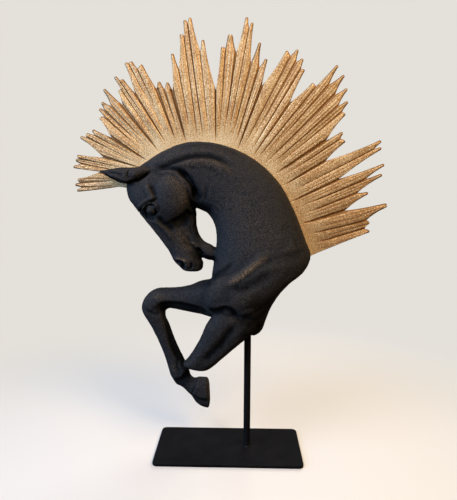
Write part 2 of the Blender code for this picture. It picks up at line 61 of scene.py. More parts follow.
def linear(colour):
    """An sRGB hex colour as the linear RGBA that a shader takes."""
    parts = [int(colour[i:i + 2], 16) / 255 for i in (1, 3, 5)]
    return [c / 12.92 if c <= 0.04045 else ((c + 0.055) / 1.055) ** 2.4 for c in parts] + [1]


def add_node(tree, kind, inputs=(), stops=(), **settings):
    """Adds a shader node with its settings, its ramp's stops, and each input's value or link."""
    made = tree.nodes.new("ShaderNode" + kind)
    for name, value in settings.items():
        setattr(made, name, value)
    for place, (position, colour) in enumerate(stops):
        element = made.color_ramp.elements[place] if place < 2 else made.color_ramp.elements.new(position)
        element.position = position
        element.color = colour
    for socket, value in dict(inputs).items():
        if isinstance(value, bpy.types.NodeSocket):
            tree.links.new(value, made.inputs[socket])
        else:
            made.inputs[socket].default_value = value
    return made


def new_finish(name, **sockets):
    """A material with its tree, its Principled shader set to these values, and its object coordinates."""
    material = bpy.data.materials.new(name)
    material.use_nodes = True
    tree = material.node_tree
    shader = tree.nodes["Principled BSDF"]
    for socket, value in sockets.items():
        shader.inputs[socket.replace("_", " ")].default_value = value
    return material, tree, shader, add_node(tree, "TexCoord").outputs["Object"]


powder_coat, tree, shader, where = new_finish("satin_black_powder_coat", Specular_IOR_Level=0.2)
smears = add_node(tree, "TexNoise", {"Vector": where, "Scale": 1 / SMEAR_WIDTH, "Detail": 5,
                                     "Roughness": 0.6})
smear_share = add_node(tree, "MapRange", {"Value": smears.outputs["Fac"], "From Min": 0.42,
                                          "From Max": 0.68})
dust = add_node(tree, "TexNoise", {"Vector": where, "Scale": 1 / DUST_WIDTH, "Detail": 2})
dust_share = add_node(tree, "MapRange", {"Value": dust.outputs["Fac"], "From Min": 0.66,
                                         "From Max": 0.78})
coat = add_node(tree, "Mix", {0: smear_share.outputs[0], 6: linear(COAT_BLACK), 7: linear(COAT_SMEAR)},
                data_type="RGBA")
dusty = add_node(tree, "Mix", {0: dust_share.outputs[0], 6: coat.outputs[2], 7: linear(COAT_DUST)},
                 data_type="RGBA")
tree.links.new(dusty.outputs[2], shader.inputs["Base Color"])
gloss = add_node(tree, "MapRange", {"Value": smears.outputs["Fac"], "From Min": 0.35, "From Max": 0.7,
                                    "To Min": 0.36, "To Max": 0.55})
tree.links.new(gloss.outputs[0], shader.inputs["Roughness"])
peel = add_node(tree, "TexNoise", {"Vector": where, "Scale": 1 / PEEL_WIDTH, "Detail": 1})
bump = add_node(tree, "Bump", {"Height": peel.outputs["Fac"], "Strength": 0.35, "Distance": PEEL_HEIGHT})
tree.links.new(bump.outputs["Normal"], shader.inputs["Normal"])

for name in ("base_plate", "stand_rod"):
    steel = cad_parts[name]
    steel.data.materials.clear()
    steel.data.materials.append(powder_coat)
    steel.data.set_sharp_from_angle(angle=math.radians(STEEL_CRISP))

# The weld: one run of mild steel laid round the bar's foot in lapped drops, which ties it to the plate.
# It was coated with them, so what shows is its rounded ripple.
BEAD_DROPS, BEAD_RADIUS = 15, 1.25 * MM
# Its clearance from the bar, and how high it lies and how flat it is, as shares of its radius.
BEAD_GAP, BEAD_RISE, BEAD_FLAT = 0.15 * MM, 0.25, 0.8
# How thick a drop starts, how it swells, and how uneven the whole run is, as shares of its radius.
DROP_START, DROP_SWELL, BEAD_UNEVEN = 0.86, 0.3, 0.08
rod_low, rod_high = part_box("stand_rod")
rod_radius = (rod_high.x - rod_low.x) / 2
rod_axis = (rod_low + rod_high) / 2


def add_object(name, data):
    """An object that shows this data, linked to the scene."""
    made = bpy.data.objects.new(name, data)
    bpy.context.scene.collection.objects.link(made)
    return made


def new_piece(name, vertices, faces, finish, slot):
    """A mesh object that rides with the sculpture and wears the finish given to it. The slot is not used."""
    mesh = bpy.data.meshes.new(name)
    mesh.from_pydata([tuple(v) for v in vertices], [], [tuple(f) for f in faces])
    mesh.materials.append(finish)
    mesh.shade_smooth()
    piece = add_object(name, mesh)
    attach(piece, "root")
    return piece


def lapped_ring(around, across):
    """The bead's skin: a ring round the bar whose section swells and thins with each drop."""
    vertices, faces = [], []
    for i in range(around):
        turn = 2 * math.pi * i / around
        drop = (i * BEAD_DROPS / around) % 1
        ripple = DROP_START + DROP_SWELL * drop * (1.25 - drop) + BEAD_UNEVEN * math.sin(3 * turn + 1)
        swell = BEAD_RADIUS * ripple
        for j in range(across):
            lean = 2 * math.pi * j / across
            reach = rod_radius + BEAD_GAP + swell * math.cos(lean) * BEAD_FLAT
            height = plate_top + swell * (BEAD_RISE + math.sin(lean)) * BEAD_FLAT
            vertices.append((rod_axis.x + reach * math.cos(turn), reach * math.sin(turn), height))
            after, up = (i + 1) % around, (j + 1) % across
            faces.append((i * across + j, after * across + j, after * across + up, i * across + up))
    return vertices, faces


plate_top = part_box("base_plate")[1].z
new_piece("rod_weld", *lapped_ring(around=180, across=14), powder_coat, "black_steel")

# The horse: one casting in filled polyester resin, set on the bar by its belly and painted a matt charcoal.
# Its high places were rubbed back with bronze wax, the same bronze is painted as light on its upper parts,
# black painted shade lies in its hollows and under it, and the model's fine hammered grain shows all over.
SKIN_VOXEL = 0.9 * MM
SKIN_SMOOTHING = 10
SKIN_TRIANGLES = 185000

# Sections of the trunk: crest or back point, throat or chest point, half width, middle along Y.
TRUNK = [
    (-92, 289, -70, 276, 11, 0),
    (-80, 297.5, -55, 272, 14, 0),
    (-62, 308.5, -42, 261, 16.5, 0),
    (-38, 316.3, -31.5, 252.8, 18, 0),
    (-8, 314, -21, 247.8, 19.5, 0),
    (22, 301.3, -14.4, 237, 21.5, 0),
    (46, 280.3, -12.3, 225, 24, 0),
    (61.6, 254.3, -13, 212, 27, 0),
    (75, 222, -15.3, 198, 30.5, 0),
    (80.3, 206.5, -17, 186, 32, 0),
    (74.3, 192, -18.5, 172, 32.5, 0),
    (61.3, 181, -17.5, 160, 32, 0),
    (50.3, 168.7, -12.5, 150.5, 31, 0),
    (42, 155, -3.5, 142.5, 29, 0),
    (37.5, 143, 6.5, 135.5, 25, 0),
    (34, 133, 15, 129.7, 19, 0),
    (28.3, 127, 21, 127, 11, 0),
]
# Head: forehead or nose point, jaw point, half width, middle along Y.
HEAD = [
    (-89.5, 289.5, -72, 291.5, 8, 0),
    (-97.3, 282, -58, 290, 13.5, 0),
    (-99.8, 273, -46, 280.5, 16.5, 0),
    (-97.8, 262.5, -40, 263, 18.5, 0),
    (-93, 255.2, -41, 249, 18.5, 0),
    (-86.5, 246.3, -42, 240.5, 16, 0),
    (-77.3, 234.6, -40.5, 229.5, 13.5, 0),
    (-67.3, 221.7, -35.5, 219.5, 12, 0),
    (-59.4, 210.3, -31, 211.3, 11.5, 0),
    (-55, 201.2, -27.5, 203.2, 12.5, 0),
    (-49.4, 195.4, -25.4, 197.3, 12, 0),
    (-44.6, 191, -27.2, 191.8, 9.5, 0),
    (-40, 190.4, -32, 190.2, 4, 0),
]
# Lower jaw, whose chin is tucked against the chest.
JAW = [
    (-62, 250, -38, 262, 14, 0),
    (-54, 238, -32.4, 250, 11.5, 0),
    (-47, 227, -32, 237, 9.5, 0),
    (-39.5, 217, -29.5, 227, 8.5, 0),
    (-32, 209.5, -24.5, 220, 8, 0),
    (-26.5, 204, -18.5, 217, 8, 0),
    (-20, 201.5, -13, 213.5, 7.5, 0),
    (-13, 201, -7, 210, 6, 0),
]
# Near ear, pricked forwards.
EAR = [
    (-74, 290.5, -77.5, 285.5, 3.5, -11),
    (-83, 292, -84.5, 281.5, 5.5, -12),
    (-92, 291.3, -94, 276, 6, -13),
    (-101.5, 291.4, -102.5, 277, 5.5, -13.5),
    (-111.5, 289.8, -112.3, 281.3, 4, -14),
    (-118, 289, -118.5, 285, 2.4, -14),
    (-121.8, 289, -121.8, 287.2, 1, -14),
]
# Near shoulder: from the withers down to the point of the shoulder, front edge and rear edge.
SHOULDER = [
    (58, 228, 68, 206, 5, -20),
    (40, 217, 56, 188, 9, -23),
    (20, 205, 42, 170, 11.5, -24.5),
    (3, 194, 26, 156, 13, -24.5),
    (-11, 187, 9, 150, 12.5, -23),
    (-20, 177, -8, 150, 11, -20),
    (-23.5, 168, -17, 154, 8, -18),
]
# Near forearm, cut off above the knee: front edge and rear edge.
NEAR_FOREARM = [
    (-16, 160, 33, 151, 13, -16),
    (-15, 151, 28.5, 138.5, 14.5, -19),
    (-21.6, 141, 18.3, 128.5, 14, -20),
    (-27, 128, 7.2, 119, 13, -20),
    (-33.5, 116, -4, 109, 12, -20.5),
    (-39.5, 107.3, -12, 102, 11, -21),
    (-44, 101.8, -18, 97, 9.5, -21),
    (-42.5, 99.5, -22, 95.4, 7.5, -21),
    (-37.5, 97, -27, 95.2, 4, -21),
]
# Far foreleg, raised and bent: outer edge and inner edge, from the chest to the hoof's coronet.
FAR_LEG = [
    (0, 176, -5, 140, 15, 13),
    (-15, 178, -15, 137.5, 16, 16),
    (-28, 176.5, -26, 140, 15, 18),
    (-40, 171.5, -40, 142.5, 13, 19),
    (-52, 168.8, -52, 144.5, 11.5, 19.5),
    (-64, 168, -62, 146, 10.5, 20),
    (-75.5, 167.3, -67, 143.5, 10.5, 20),
    (-84.3, 162.5, -67.5, 139.5, 10.5, 20),
    (-90.4, 154.7, -67, 137, 10.5, 20),
    (-92.5, 146, -66, 134, 10, 20),
    (-89, 137, -64, 130, 9, 20),
    (-83.5, 127.7, -61.6, 123, 8, 20),
    (-77.5, 115.2, -58, 112.5, 7.5, 20),
    (-71, 99.2, -52, 98.5, 7, 20),
    (-66.5, 85.2, -47, 88, 7.5, 20),
    (-63, 72.4, -43, 78, 8.5, 20),
    (-58, 63.6, -41.5, 72, 8.5, 20),
    (-50.5, 59.4, -39, 68.7, 8, 20),
    (-44.5, 53.2, -36.5, 67.5, 8.5, 20),
]
# Hoof, sole to the rear.
HOOF = [
    (-45.5, 54, -37.5, 66.5, 7.5, 20),
    (-40.8, 50, -34.5, 68.8, 9.5, 20),
    (-35.6, 42.6, -29.5, 68.7, 10.8, 20),
    (-28.8, 38, -25.2, 68.4, 11.6, 20),
    (-21.8, 36.4, -22.8, 67.4, 11.6, 20),
    (-20.8, 43, -21.5, 61.5, 8, 20),
]
# Round forms that stand out of the lofts: middle, half sizes, tilt about Y in degrees, flatness.
CHEEK = ((-56, 0, 264.5), (20.5, 21.5, 25.5), 0, 3.2)
BROW = ((-77.5, -15.2, 256.6), (8, 4.6, 3), -30, 2)
EYE = ((-74.5, -14.8, 251.4), (3.9, 4.6, 3.9), 0, 2)


def filled(rows, steps):
    """The rows with a smooth curve drawn through them, steps to each gap."""
    rows = np.array(rows, float)
    ends = np.vstack([2 * rows[0] - rows[1], rows, 2 * rows[-1] - rows[-2]])
    out = []
    for before, start, stop, after in zip(ends, ends[1:], ends[2:], ends[3:]):
        for t in np.arange(steps) / steps:
            straight = start + (stop - before) * t / 2
            curved = (2 * before - 5 * start + 4 * stop - after) * t**2 / 2
            out.append(straight + curved + (3 * start - before - 3 * stop + after) * t**3 / 2)
    out.append(rows[-1])
    return np.array(out)


def add_loft(shape, rows, fullness=2.2, sides=48, steps=6, mirrored=False):
    """A closed skin through the sections, each a full ellipse between its two points, and its mirror."""
    turns = np.linspace(0, 2 * math.pi, sides, endpoint=False)
    along = np.sign(np.cos(turns)) * np.abs(np.cos(turns)) ** (2 / fullness)
    across = np.sign(np.sin(turns)) * np.abs(np.sin(turns)) ** (2 / fullness)
    for side in (1, -1) if mirrored else (1,):
        rings = []
        for row in filled(rows, steps):
            middle, reach = (row[0:2] + row[2:4]) / 2, (row[0:2] - row[2:4]) / 2
            rings.append([
                shape.verts.new(Vector((middle[0] + reach[0] * a, side * (row[5] + row[4] * b),
                                        middle[1] + reach[1] * a)) * MM)
                for a, b in zip(along, across)
            ])
        for here, there in zip(rings, rings[1:]):
            for i in range(sides):
                j = (i + 1) % sides
                shape.faces.new((here[i], here[j], there[j], there[i]))
        shape.faces.new(rings[0])
        shape.faces.new(rings[-1])


def add_round(shape, form, mirrored=False):
    """A sphere stretched to its half sizes, with its two Y faces flattened, and its mirror image."""
    middle, sizes, tilt, flatness = form
    turn = Matrix.Rotation(math.radians(tilt), 3, "Y")
    for side in (1, -1) if mirrored else (1,):
        ball = bmesh.ops.create_uvsphere(shape, u_segments=48, v_segments=32, radius=1)
        for vertex in ball["verts"]:
            x, y, z = vertex.co
            y = math.copysign(abs(y) ** (2 / flatness), y)
            local = turn @ Vector((x * sizes[0], y * sizes[1], z * sizes[2]))
            vertex.co = Vector((middle[0] + local.x, side * (middle[1] + local.y),
                                middle[2] + local.z)) * MM


def settled(worked):
    """The object's mesh with its modifiers worked out."""
    return bpy.data.meshes.new_from_object(worked.evaluated_get(bpy.context.evaluated_depsgraph_get()))


def skin_of(shape, name):
    """The bmesh's overlapping forms under one smooth skin."""
    bmesh.ops.recalc_face_normals(shape, faces=shape.faces)
    forms = bpy.data.meshes.new(name + " forms")
    shape.to_mesh(forms)
    shape.free()
    block = add_object(name + " forms", forms)
    remesh = block.modifiers.new("One skin", "REMESH")
    remesh.mode = "VOXEL"
    remesh.voxel_size = SKIN_VOXEL
    soften = block.modifiers.new("Soften the joins", "SMOOTH")
    soften.iterations = SKIN_SMOOTHING
    skin = settled(block)
    bpy.data.objects.remove(block)
    skin.name = name
    return skin


shape = bmesh.new()
add_loft(shape, TRUNK, fullness=2.3)
add_loft(shape, HEAD, fullness=2.5)
add_loft(shape, JAW, fullness=2.4)
add_loft(shape, EAR, mirrored=True)
add_loft(shape, SHOULDER, mirrored=True)
add_loft(shape, NEAR_FOREARM, fullness=2.4)
add_loft(shape, FAR_LEG, fullness=2.3)
add_loft(shape, HOOF, fullness=2.6)
add_round(shape, CHEEK)
add_round(shape, BROW, mirrored=True)
add_round(shape, EYE, mirrored=True)
skin = skin_of(shape, "horse_casting")


def points_and_normals(mesh):
    """The mesh's points, in mm, and their normals, as rows."""
    rows = []
    for name in ("co", "normal"):
        values = np.empty(len(mesh.vertices) * 3)
        mesh.vertices.foreach_get(name, values)
        rows.append(values.reshape(-1, 3))
    return rows[0] / MM, rows[1]


def push_out(mesh, points, normals, distances):
    """Moves the mesh's points along their normals, in mm."""
    mesh.vertices.foreach_set("co", ((points + normals * distances[:, None]) * MM).ravel())
    mesh.update()


def lengths_along(line):
    """How far along the line each of its points lies."""
    return np.concatenate([[0], np.cumsum(np.linalg.norm(np.diff(line, axis=0), axis=1))])


# A stroke's route is smoothed in so many steps to each gap. It fades over a share of its length at each end,
# down to a share of its strength, and a sharp one rises to its line by this power.
ROUTE_STEPS, STROKE_FADE, STROKE_END, SHARP_POWER = 5, 0.18, 0.3, 1.6


def nearness(points, route, left, right, sharp=False):
    """How near each point is to a route drawn in side view: 1 on it, 0 from its widths outwards.

    It has a width of its own to the left and to the right of the route's run. A sharp one peaks in a line.
    The route's ends fade, as a tool lifts out of its stroke."""
    line = filled(route, ROUTE_STEPS)
    lengths = lengths_along(line)
    flat = points[:, [0, 2]]
    out = np.zeros(len(points))
    reach = max(left, right)
    inside = np.all((flat > line.min(0) - reach) & (flat < line.max(0) + reach), axis=1)
    flat = flat[inside]
    nearest = np.full(len(flat), np.inf)
    share, width = np.zeros(len(flat)), np.full(len(flat), left)
    for i, (start, stop) in enumerate(zip(line, line[1:])):
        run = stop - start
        away = flat - start
        along = np.clip(away @ run / (run @ run), 0, 1)
        distance = np.linalg.norm(away - along[:, None] * run, axis=1)
        closer = distance < nearest
        nearest[closer] = distance[closer]
        share[closer] = (lengths[i] + along * (lengths[i + 1] - lengths[i]))[closer] / lengths[-1]
        width[closer] = np.where(away @ np.array([-run[1], run[0]]) > 0, left, right)[closer]
    fade = np.clip(np.minimum(share, 1 - share) / STROKE_FADE, 0, 1) * (1 - STROKE_END) + STROKE_END
    t = np.clip(nearest / width, 0, 1)
    out[inside] = ((1 - t) ** SHARP_POWER if sharp else (1 - t**2) ** 2) * fade
    return out


# The far leg's own points lie past this, in mm along Y.
FAR_LEG_FROM = 4
# A modelling tool works from this squareness on, and is fully felt a rise further.
TOOL_REACH, REACH_RISE = 0.05, 0.4


def facing(points, normals, side, least=TOOL_REACH):
    """How squarely each point looks out on the named side of the horse: both, near, or the far leg."""
    outward = np.sign(normals[:, 1] if side == "far leg" else points[:, 1])
    on_side = {"both": True, "near": points[:, 1] < 0, "far leg": points[:, 1] > FAR_LEG_FROM}[side]
    return np.clip((normals[:, 1] * outward - least) / REACH_RISE, 0, 1) * on_side


SOFT, SHARP = False, True
# Three lines that the modelling tool cut and that the painted shade follows.
LID_EDGE = [(-79.6, 250), (-78.6, 253.4), (-76.4, 255.7), (-73.4, 256.3), (-70.2, 256.2)]
EYE_CORNER = [(-84.6, 250.4), (-81.2, 246.8), (-77.5, 242.6)]
EAR_CREASE = [(-98, 275.5), (-93, 277.2), (-89, 278.6), (-84.5, 279.8), (-80.5, 282.6), (-75, 286.5)]
# The modelling: route, widths to its left and right, height above the skin, profile and side.
# A negative height is a hollow. Left is above a route that runs to the right.
MODELLING = [
    # Crest and neck: the long hollow under the crest, the cord below it, and the folds of the throat.
    ([(-68, 291.5), (-58, 293), (-50, 296), (-41, 299.3), (-30, 301.3), (-18, 301), (-8, 298), (2, 293)],
     5.5, 2.6, -1.9, SOFT, "both"),
    ([(-52, 291.5), (-44, 294.5), (-34, 296.7), (-24, 297), (-14, 294.8), (-5, 290.5), (4, 284)],
     2.6, 7, 1.3, SOFT, "both"),
    ([(-45, 310), (-30, 312.5), (-14, 311.5), (0, 307), (14, 299.5)], 2, 3, -0.5, SOFT, "both"),
    ([(-36, 267), (-31, 265), (-25, 262)], 8, 6, -2, SOFT, "both"),
    ([(-28, 262), (-27.5, 268), (-28, 275)], 2.4, 2.4, -0.7, SOFT, "both"),
    ([(-22.5, 261), (-21, 267), (-20.5, 273)], 2.2, 2.2, -0.5, SOFT, "both"),
    ([(-18, 257), (-12, 253.5), (-9, 249)], 2, 2, -0.35, SOFT, "both"),
    ([(-15, 259.5), (-8, 256.5), (-4, 251.5)], 2, 2, -0.3, SOFT, "both"),
    # Cheek: the crease behind it, its rim, and the deep undercut below.
    ([(-68, 288.5), (-60, 290.5), (-51, 289.5), (-44.5, 286), (-39.5, 281)], 4, 3.5, -2, SOFT, "both"),
    ([(-45, 287), (-39.5, 281.5), (-35.5, 275.5), (-33, 269), (-32.2, 263)],
     6, 3.4, -4.4, SOFT, "both"),
    ([(-46, 282), (-42, 275), (-40.5, 267), (-41, 259), (-44, 252)], 2.4, 5, 0.7, SOFT, "both"),
    ([(-33.5, 271), (-31.8, 263), (-30.5, 257)], 5, 3, -1.3, SOFT, "both"),
    ([(-36.5, 252), (-40, 247.5), (-44, 244), (-48.5, 241.5), (-54, 240)], 11, 4.5, -5, SOFT, "both"),
    ([(-68, 245), (-63, 240), (-58, 235.5), (-52, 230)], 5, 4, -1.7, SOFT, "both"),
    ([(-73, 243), (-66, 236), (-59, 229), (-53, 221)], 3, 3.5, 0.9, SOFT, "both"),
    # The jaw's knots and sinews.
    ([(-36, 240), (-37.5, 233), (-36, 227)], 1.6, 1.6, -1, SOFT, "both"),
    ([(-47, 237), (-43, 231), (-40.5, 224)], 2.5, 2.5, 0.8, SOFT, "both"),
    ([(-33.5, 232), (-31.5, 225), (-28, 219.5)], 2, 2, 0.9, SOFT, "both"),
    ([(-43, 240), (-40, 236)], 1.5, 1.5, -0.8, SOFT, "both"),
    ([(-44, 221), (-38, 216)], 2, 2, -0.6, SOFT, "both"),
    # Temple, brow, lids and eye.
    ([(-76.5, 277), (-75, 271.5), (-73, 267.5), (-71, 264), (-70, 260.5)], 2, 6, 1.4, SOFT, "both"),
    ([(-74, 273.5), (-71.3, 268), (-69.3, 263.5)], 4.5, 1.4, -1.3, SOFT, "both"),
    ([(-87, 253.5), (-81.5, 258), (-76, 261.3), (-71, 263)], 2.6, 1.8, 1, SOFT, "both"),
    ([(-88, 247.5), (-84, 251.8), (-80.5, 255.6), (-76, 258), (-72, 259.4), (-67.5, 262.6)],
     1.7, 1.5, -3.2, SHARP, "both"),
    ([(-82.5, 251), (-79.5, 255.2), (-75.5, 257.5), (-70.5, 258), (-68.2, 255.5), (-67.6, 252)],
     1.3, 1.3, 1.4, SOFT, "both"),
    (LID_EDGE, 1.2, 1.2, -2.4, SHARP, "both"),
    ([(-80, 251), (-78.8, 247.6), (-75.4, 245.6), (-71.4, 245.9), (-69, 248.4), (-69, 252.6)],
     2, 2.2, -3, SOFT, "both"),
    (EYE_CORNER, 1.4, 1.4, -1.8, SHARP, "both"),
    ([(-83, 249), (-79.5, 245), (-74, 242.6), (-69, 243.5)], 2.6, 3, -1.2, SOFT, "both"),
    ([(-66.2, 256), (-65.8, 251.5), (-67.2, 246.5)], 1.3, 1.3, -0.8, SOFT, "both"),
    # Muzzle: nostril and its rim, the lips and the mouth.
    ([(-51.5, 201), (-48, 200.3), (-45, 198.7), (-43.4, 196)], 2.2, 2.4, -3.8, SOFT, "both"),
    ([(-46, 197), (-44, 194.3)], 1.8, 1.8, -2, SOFT, "both"),
    ([(-36.8, 200.5), (-36.2, 197.5), (-37.8, 193.5)], 1.6, 1.6, -2.6, SOFT, "both"),
    ([(-53, 204), (-48.5, 204), (-44, 202.6), (-39.5, 200.3)], 1.6, 2, 1.5, SOFT, "both"),
    ([(-42, 199), (-40.2, 196)], 1.5, 1.5, 0.9, SOFT, "both"),
    ([(-38, 208), (-31, 206), (-27, 201)], 4, 4, -1, SOFT, "both"),
    ([(-34, 206), (-31.5, 200), (-31.5, 195)], 2.2, 2.2, -0.9, SOFT, "both"),
    ([(-30.5, 213.5), (-28, 210.5), (-25, 207)], 2.6, 2.6, -4, SOFT, "both"),
    ([(-26, 207.5), (-22, 205.5), (-18, 204.6), (-12, 203.8)], 2.4, 4, -1.4, SOFT, "both"),
    ([(-36, 220), (-32.5, 217), (-30.5, 214)], 2, 2, 1.4, SOFT, "both"),
    # Ear: the crease behind it, its open side, and the knot at its root.
    (EAR_CREASE, 1.9, 1.7, -3.2, SHARP, "both"),
    ([(-113, 284.2), (-107.2, 283), (-102.7, 281.3), (-97.8, 279.3), (-94, 278.8)],
     1.3, 1.2, 1, SOFT, "both"),
    ([(-116, 285.2), (-112, 282.2), (-107.3, 280), (-103, 278.4)], 1.2, 1.4, -1, SOFT, "both"),
    ([(-114, 287), (-106, 285.8), (-99, 284)], 1.8, 1.8, -0.9, SOFT, "both"),
    ([(-93.5, 288.9), (-94.4, 286.5), (-94.7, 283.5), (-93.3, 281)], 1.2, 1.2, -1.5, SOFT, "both"),
    ([(-89, 286.5), (-87, 283)], 2.4, 2.4, 1.1, SOFT, "both"),
    # Chest and shoulder: the breast muscle, the blade's ridge with its hollow, and the swell below.
    ([(-19, 181), (-14, 187.5), (-8, 192.5), (-2, 197), (4, 203)], 3.2, 4, -1.2, SOFT, "both"),
    ([(3.5, 185), (0.8, 180), (-1, 175), (-2, 170), (-2, 164)], 9, 8, -0.7, SOFT, "both"),
    ([(-14, 184), (-16, 174), (-14, 165)], 8, 6, 0.8, SOFT, "both"),
    ([(1, 184.5), (3, 186), (10.5, 191), (19.5, 198), (26, 203.5), (32, 208), (39, 211)],
     8, 5, 1.5, SOFT, "both"),
    ([(2, 180), (8, 180.6), (14, 181.5), (21, 185), (31, 190.5), (42, 196)], 6, 9, -1.2, SOFT, "both"),
    ([(8, 165), (16, 168.5), (25, 172)], 10, 10, 0.8, SOFT, "both"),
    ([(9, 152.5), (17, 156), (25, 159)], 5, 6, 1.2, SOFT, "near"),
    ([(-22, 157), (-14, 157), (-8, 158.2), (-3, 160.3), (1, 160), (5, 157.5), (9, 152)],
     4.2, 6.5, -2.3, SOFT, "near"),
    ([(30, 204.5), (45, 209), (58, 211), (73, 213)], 5, 9, -0.7, SOFT, "both"),
    ([(16, 143), (24, 141), (33, 141)], 7, 8, -1.5, SOFT, "near"),
    ([(49, 235), (56, 241)], 1.2, 1.2, -0.35, SOFT, "near"),
    ([(52, 233), (58, 238)], 1.2, 1.2, -0.3, SOFT, "near"),
    # Near forearm: the hollow between its two muscles.
    ([(10, 146), (1.5, 138.5), (-5, 128.5), (-11, 121), (-17.5, 114.5), (-26.5, 105.5)],
     8, 6, -1.9, SOFT, "near"),
    ([(12, 131), (4, 123), (-4, 115), (-12, 107)], 3, 3, 0.5, SOFT, "near"),
    ([(-16, 150), (-27, 129), (-36, 111)], 4, 3, 0.6, SOFT, "near"),
    # Far foreleg: the plane breaks under its forearm and down its cannon, the knee and the fetlock.
    ([(-78, 147.5), (-72, 151), (-63, 153), (-50, 153), (-38, 151), (-22, 147)],
     4, 12, -2.6, SOFT, "far leg"),
    ([(-26, 165), (-26, 155), (-24, 145)], 3, 3, -1.5, SOFT, "far leg"),
    ([(-88, 147), (-82, 144), (-76, 142), (-70, 143)], 3.2, 4, -0.8, SOFT, "far leg"),
    ([(-84, 163), (-87, 155), (-86, 148)], 3, 2, 0.8, SOFT, "far leg"),
    ([(-77, 152), (-74.5, 149)], 2, 2, 0.8, SOFT, "far leg"),
    ([(-70, 149), (-66.5, 135), (-63.5, 120), (-60.5, 107), (-56, 96), (-51, 87)],
     9, 3.2, -2.6, SOFT, "far leg"),
    ([(-54, 92), (-55, 84), (-52, 78)], 2.2, 2.2, -0.9, SOFT, "far leg"),
    ([(-60, 68), (-52, 69.5), (-46.5, 73.5), (-43, 79), (-41.5, 85)], 4, 6, -1.9, SOFT, "far leg"),
    ([(-40.5, 52), (-36.5, 62), (-33.5, 72)], 1.6, 1.6, -0.8, SOFT, "far leg"),
    ([(-39, 53.5), (-31, 50), (-21, 48.5)], 1.6, 7, -1.4, SOFT, "far leg"),
    ([(-23.4, 71), (-22.3, 60), (-21.8, 48)], 1, 1, -0.6, SOFT, "far leg"),
]
for route, left, right, height, sharp, side in MODELLING:
    points, normals = points_and_normals(skin)
    near = nearness(points, route, left, right, sharp) * facing(points, normals, side)
    push_out(skin, points, normals, near * height)

# The hammered grain of the modelling paste, too coarse for the paint's own bump: scale and height in mm.
HAMMERING = [(7, 0.2), (2.4, 0.16)]
points, normals = points_and_normals(skin)
lift = np.zeros(len(points))
for scale, height in HAMMERING:
    lift += height * np.array([noise.noise(point) for point in points / scale])
push_out(skin, points, normals, lift)

casting = add_object("horse_casting", skin)
thin = casting.modifiers.new("Thin the skin", "DECIMATE")
skin.calc_loop_triangles()
thin.ratio = min(1, SKIN_TRIANGLES / len(skin.loop_triangles))
thinned = settled(casting)
casting.modifiers.clear()
casting.data = thinned
thinned.name = "horse_casting"
thinned.shade_smooth()
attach(casting, "root")
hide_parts("horse")


def relief(mesh, rounds):
    """How far each point stands out of the same mesh smoothed by so many rounds, in mm."""
    points, normals = points_and_normals(mesh)
    edges = np.empty(len(mesh.edges) * 2, int)
    mesh.edges.foreach_get("vertices", edges)
    here, there = np.concatenate([edges.reshape(-1, 2), edges.reshape(-1, 2)[:, ::-1]]).T
    count = np.bincount(here, minlength=len(points))[:, None]
    smooth = points
    for _ in range(rounds):
        mean = [np.bincount(here, smooth[there, i], len(points)) for i in range(3)]
        smooth = (smooth + np.column_stack(mean) / count) / 2
    return np.einsum("ij,ij->i", points - smooth, normals)


def keep_values(mesh, name, values):
    """Keeps one number for each point where the finish can read it."""
    mesh.attributes.new(name, "FLOAT", "POINT").data.foreach_set("value", values.astype(np.float32))


# Where bronze wax was rubbed on, and where the same bronze is painted as light on the upper neck, cheek,
# nose and shoulder: route, widths to its left and right, strength and side.
WAX_AND_PAINTED_LIGHT = [
    ([(0, 184), (3, 186), (10.5, 191), (19.5, 198), (26, 203.5), (37, 209.5)], 4.6, 3.6, 1, "both"),
    ([(-52, 296), (-29, 299), (-12, 296), (4, 287)], 12, 14, 0.3, "both"),
    ([(-62, 284), (-48, 280), (-43, 267), (-45, 252)], 9, 14, 0.3, "both"),
    ([(-52.5, 205), (-48.5, 204.6), (-44, 203.2), (-39.5, 201)], 3.2, 1.8, 0.7, "both"),
    ([(-36, 220.5), (-33, 217), (-31, 214)], 2.8, 2.8, 0.7, "both"),
    ([(-52, 238), (-45, 224), (-38, 210)], 14, 14, 0.3, "both"),
    ([(-77, 277), (-75, 271.5), (-73, 267.5), (-71, 262)], 2, 6, 0.15, "both"),
    ([(-80, 240), (-70, 228), (-60, 215)], 8, 8, 0.4, "both"),
    ([(2, 163), (16, 168.5), (28, 174)], 14, 16, 0.2, "both"),
    ([(-5, 275), (18, 245), (40, 212)], 34, 34, 0.2, "both"),
    ([(-23, 71), (-21.9, 60), (-21.4, 50)], 1, 1, 0.8, "far leg"),
    ([(-78, 161), (-64, 160)], 5, 5, 0.4, "far leg"),
    ([(-60, 88), (-56, 78)], 6, 6, 0.35, "far leg"),
]
